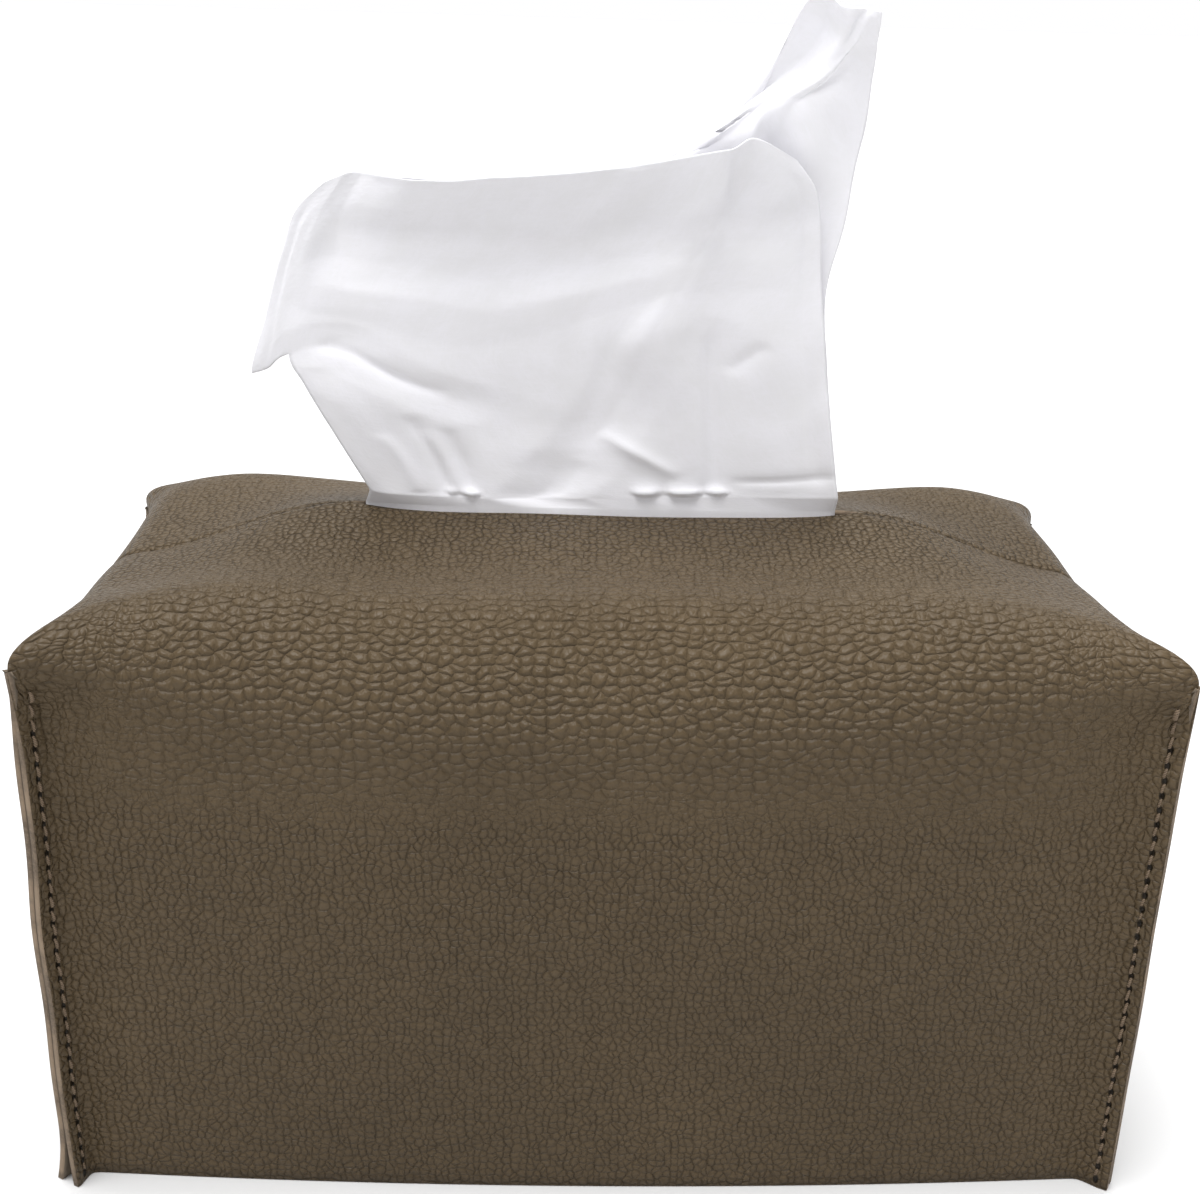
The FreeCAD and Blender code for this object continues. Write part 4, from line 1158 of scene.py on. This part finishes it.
class COVER_OT_pulled_sheet(bpy.types.Operator):
    """Stand the pulled sheet of tissue in the slot"""

    bl_idname = "tissue_cover.pulled_sheet"
    bl_label = "Pulled sheet"

    def execute(self, context):
        tissue = context.scene.tissue_sheet
        front, back = sheet_grid(tissue)
        rows, columns = front.shape[:2]
        flap = flap_columns(columns)
        x_tail = np.interp(np.arange(columns), [0, flap, columns - 1], [-TAIL_HALF, -TAIL_HALF, TAIL_HALF])
        y_tail = -(slot_lip(context.scene.tissue_cover, x_tail) - LIP_GAP)
        k = np.linspace(0.0, 1.0, 24)[:, None, None]

        def run(top, y):
            """The way from a leaf's foot down to the knee at the slot, and straight on to the tail's fold."""
            foot = np.stack([x_tail, y, np.full(columns, tissue.tail + TAIL_GAP)], -1)
            knee = np.stack([x_tail, y, np.full(columns, KNEE_HEIGHT)], -1)
            return np.concatenate([(knee * (1 - k) + top * k)[1:-1][::-1], (foot * (1 - k) + knee * k)[::-1]])

        front_run, back_run = run(front[0], y_tail), run(back[0], y_tail + TAIL_GAP)
        angle = np.linspace(0.0, np.pi, 9)[1:-1, None]
        fold_y = y_tail + TAIL_GAP / 2 - TAIL_GAP / 2 * np.cos(angle)
        fold_z = tissue.tail + TAIL_GAP - TAIL_GAP * np.sin(angle) + 0 * x_tail
        fold = np.stack([np.broadcast_to(x_tail, fold_y.shape), fold_y, fold_z], -1)
        grid = np.concatenate([front[::-1], front_run, fold, back_run[::-1], back])
        step = np.linalg.norm(np.diff(grid, axis=0), axis=-1).mean(1)
        v = np.concatenate([[0.0], np.cumsum(step)])[:, None] + np.zeros(columns)
        across = np.cumsum(np.linalg.norm(np.diff(grid, axis=1), axis=-1), 1)
        u = np.concatenate([np.zeros((len(grid), 1)), across], 1)
        keep = np.ones((len(grid) - 1, columns - 1), bool)
        first = int(round(FLAP_FIRST_ROW / (len(FRONT_LEAF) - 1) * (rows - 1)))
        keep[rows - 1 - first:, :flap] = False
        piece = mesh_piece("pulled_tissue_sheet", [(grid, np.stack([u, v], -1), keep)], [tissue_material(tissue)])
        give_thickness(piece, tissue.ply, offset=0.0)
        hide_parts("pulled_sheet")
        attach(piece, "pulled_tissue")
        return {"FINISHED"}


class COVER_OT_next_sheet(bpy.types.Operator):
    """Stand the next sheet behind the pulled one, its lower half still in the carton"""

    bl_idname = "tissue_cover.next_sheet"
    bl_label = "Next sheet"

    def execute(self, context):
        tissue = context.scene.tissue_sheet
        low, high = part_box("next_sheet")
        u, v = np.meshgrid(np.linspace(0, 1, 90), np.linspace(0, 1, 60))
        x = low[0] + (high[0] - low[0]) * u
        z = low[2] + (high[2] - NEXT_INSET - low[2]) * v
        y = (low[1] + high[1]) / 2 + NEXT_SHIFT + NEXT_CURL * (2 * u - 1) ** 4
        for height, over, up in NEXT_WAVES:
            y = y + height * np.sin(over * u + up * v)
        z = z - NEXT_SAG * v * (0.5 + 0.5 * np.sin(5.0 * u + 1.0)) * smooth(0.5, 1.0, v)
        grid, uv = np.stack([x, y, z], -1), np.stack([x - low[0], z - low[2]], -1)
        piece = mesh_piece("next_tissue_sheet", [(grid, uv, None)], [tissue_material(tissue)])
        give_thickness(piece, tissue.ply, offset=0.0)
        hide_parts("next_sheet")
        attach(piece, "next_tissue")
        return {"FINISHED"}


def stack_patches(low, high):
    """The folded pile: a closed outline carried along the length.

    The outline goes up the front over round folds (the root of a sine), across a slightly waved top, down the back and
    across the flat bottom. The folds' depth wanders along the length, and both ends are closed by a fan of rows."""
    folds, steps = 26, 6
    t = np.linspace(0.0, 1.0, folds * steps + 1)
    round_edge = np.sqrt(np.abs(np.sin(np.pi * folds * t)))
    middle, deep = (low[1] + high[1]) / 2, (high[1] - low[1]) / 2
    x = np.linspace(low[0], high[0], 72)[:, None]
    bend = STACK_INSET + STACK_WANDER * waves(x + 0 * t, np.floor(t * folds) * 0.013 + 0 * x, 5, 0.06)

    def side(sign):
        y = middle + sign * (deep - STACK_FOLD * (1 - round_edge) - bend)
        return np.stack([x + 0 * t, y, low[2] + (high[2] - low[2]) * t + 0 * x], -1)

    front, back = side(-1.0), side(1.0)
    k = np.linspace(0.0, 1.0, 40)[1:-1]
    top = front[:, -1:] * (1 - k[:, None]) + back[:, -1:] * k[:, None]
    top[..., 2] -= STACK_SAG * np.sin(np.pi * k) * (0.6 + 0.4 * np.sin(7 * k + 40 * x))
    floor = back[:, :1] * (1 - k[:, None]) + front[:, :1] * k[:, None]
    ring = np.concatenate([front, top, back[:, ::-1], floor, front[:, :1]], 1)
    run = np.concatenate([[0.0], np.cumsum(np.linalg.norm(np.diff(ring[0], axis=0), axis=-1))])
    patches = [(ring, np.stack(np.broadcast_arrays(x, run), -1), None)]
    lid = np.linspace(0.0, 1.0, 30)
    for end in (0, -1):
        rows = front[end][None] * (1 - lid[:, None, None]) + back[end][None] * lid[:, None, None]
        top_line = np.concatenate([front[end, -1:], top[end], back[end, -1:]])
        sag = np.interp(lid, np.linspace(0.0, 1.0, len(top_line)), top_line[:, 2] - high[2])
        rows[..., 2] += sag[:, None] * t**8
        patches.append((rows, rows[..., 1:], None))
    return patches


class COVER_OT_stack(bpy.types.Operator):
    """Fill the carton with folded sheets"""

    bl_idname = "tissue_cover.stack"
    bl_label = "Folded tissues"

    def execute(self, context):
        tissue = context.scene.tissue_sheet
        low, high = (np.array(c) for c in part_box("tissue_stack"))
        piece = mesh_piece("folded_tissues", stack_patches(low, high), [tissue_material(tissue)])
        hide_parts("tissue_stack")
        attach(piece, "tissue_box")
        return {"FINISHED"}


class COVER_OT_carton(bpy.types.Operator):
    """Finish the carton and its film, whose shapes are already right"""

    bl_idname = "tissue_cover.carton"
    bl_label = "Carton and film"

    def execute(self, context):
        carton = context.scene.tissue_carton
        for node, material in (("tissue_carton", board_material(carton)), ("carton_film", film_material(carton))):
            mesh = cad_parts[node].data
            mesh.materials.clear()
            mesh.materials.append(material)
        return {"FINISHED"}


def pale_surround(stage):
    """The world's light: white near the horizon, dimmer above, with a pale card low in front."""
    world = bpy.data.worlds.new("pale surround")
    world.use_nodes = True
    nodes = Nodes(world.node_tree)
    way = nodes.split(nodes.add("ShaderNodeTexCoord").outputs["Generated"])
    glow = nodes.span(way[2], 0.01, 0.10, 1.0 / stage.sky, 1.0)
    card = nodes.times(nodes.span(way[1], -0.25, -0.80), nodes.span(way[2], 0.70, 0.45))
    glow = nodes.plus(glow, nodes.times(card, stage.front / stage.sky))
    grey = nodes.add("ShaderNodeCombineColor", {0: glow, 1: glow, 2: nodes.times(glow, 1.015)}).outputs[0]
    nodes.feed(world.node_tree.nodes["Background"], {"Color": grey, "Strength": stage.sky})
    return world


class COVER_OT_stage(bpy.types.Operator):
    """Set up the pale floor, the soft light and the camera"""

    bl_idname = "tissue_cover.stage"
    bl_label = "Stage"

    def execute(self, context):
        scene, stage = context.scene, context.scene.tissue_stage
        side = np.concatenate([[-40.0, -10.0], np.linspace(-2.0, 2.0, 9), [10.0, 40.0]])
        x, y = np.meshgrid(side, side)
        ground = np.stack([x, y, np.full(x.shape, -0.0002)], -1)
        floor = mesh_piece("floor", [(ground, np.stack([x, y], -1), None)], [floor_material(stage)], (0.0, 0.0, 1.0))
        scene.world = pale_surround(stage)

        # A broad light overhead, a little to the front, and a weaker one from above the back for the sheen.
        for name, strength, spread, lean, tilt in (("soft_overhead", stage.overhead, 40.0, 9.0, -7.0),
                                                   ("soft_behind", stage.behind, 50.0, -32.0, 0.0)):
            lamp = bpy.data.lights.new(name, "SUN")
            lamp.energy = strength
            lamp.angle = math.radians(spread)
            light = bpy.data.objects.new(name, lamp)
            light.rotation_euler = (math.radians(lean), math.radians(tilt), 0.0)
            scene.collection.objects.link(light)

        yaw, pitch, roll = (math.radians(a) for a in CAMERA_TURNS)
        ahead = np.array([math.sin(yaw) * math.cos(pitch), math.cos(yaw) * math.cos(pitch), -math.sin(pitch)])
        right = np.array([math.cos(yaw), -math.sin(yaw), 0.0])
        above = np.cross(right, ahead)
        right, above = (math.cos(roll) * right + math.sin(roll) * above,
                        math.cos(roll) * above - math.sin(roll) * right)
        lens = bpy.data.cameras.new("camera")
        lens.sensor_width = 36.0
        lens.lens = stage.lens
        lens.shift_y = CAMERA_SHIFT
        camera = bpy.data.objects.new("camera", lens)
        turn = np.eye(4)
        turn[:3] = np.stack([right, above, -ahead, np.array(CAMERA_PLACE) * MM], 1)
        camera.matrix_world = Matrix(turn.tolist())
        scene.collection.objects.link(camera)
        scene.camera = camera
        scene.view_settings.view_transform = "Standard"
        return {"FINISHED"}


class COVER_PT_panel(bpy.types.Panel):
    """Steps and sizes of the tissue box cover"""

    bl_idname = "COVER_PT_panel"
    bl_label = "Tissue box cover"
    bl_space_type = "VIEW_3D"
    bl_region_type = "UI"
    bl_category = "Tissue cover"

    def draw(self, context):
        for step in STEPS:
            self.layout.operator(step.bl_idname)
        for name, kind in SETTINGS:
            box = self.layout.box()
            for key in kind.__annotations__:
                box.prop(getattr(context.scene, name), key)


SETTINGS = (("tissue_cover", CoverSettings), ("tissue_stitch", StitchSettings), ("tissue_sheet", TissueSettings),
            ("tissue_carton", CartonSettings), ("tissue_stage", StageSettings))
STEPS = (COVER_OT_shell, COVER_OT_stitches, COVER_OT_stack, COVER_OT_next_sheet, COVER_OT_pulled_sheet, COVER_OT_carton,
         COVER_OT_stage)


def register():
    """Adds the settings, steps and panel to Blender."""
    for name, kind in SETTINGS:
        bpy.utils.register_class(kind)
        setattr(bpy.types.Scene, name, PointerProperty(type=kind))
    for kind in (*STEPS, COVER_PT_panel):
        bpy.utils.register_class(kind)


def unregister():
    """Takes them out again."""
    for kind in (COVER_PT_panel, *reversed(STEPS)):
        bpy.utils.unregister_class(kind)
    for name, kind in reversed(SETTINGS):
        delattr(bpy.types.Scene, name)
        bpy.utils.unregister_class(kind)


def main():
    register()
    for step in STEPS:
        group, name = step.bl_idname.split(".")
        getattr(getattr(bpy.ops, group), name)()
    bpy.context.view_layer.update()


if __name__ == "__main__":
    main()
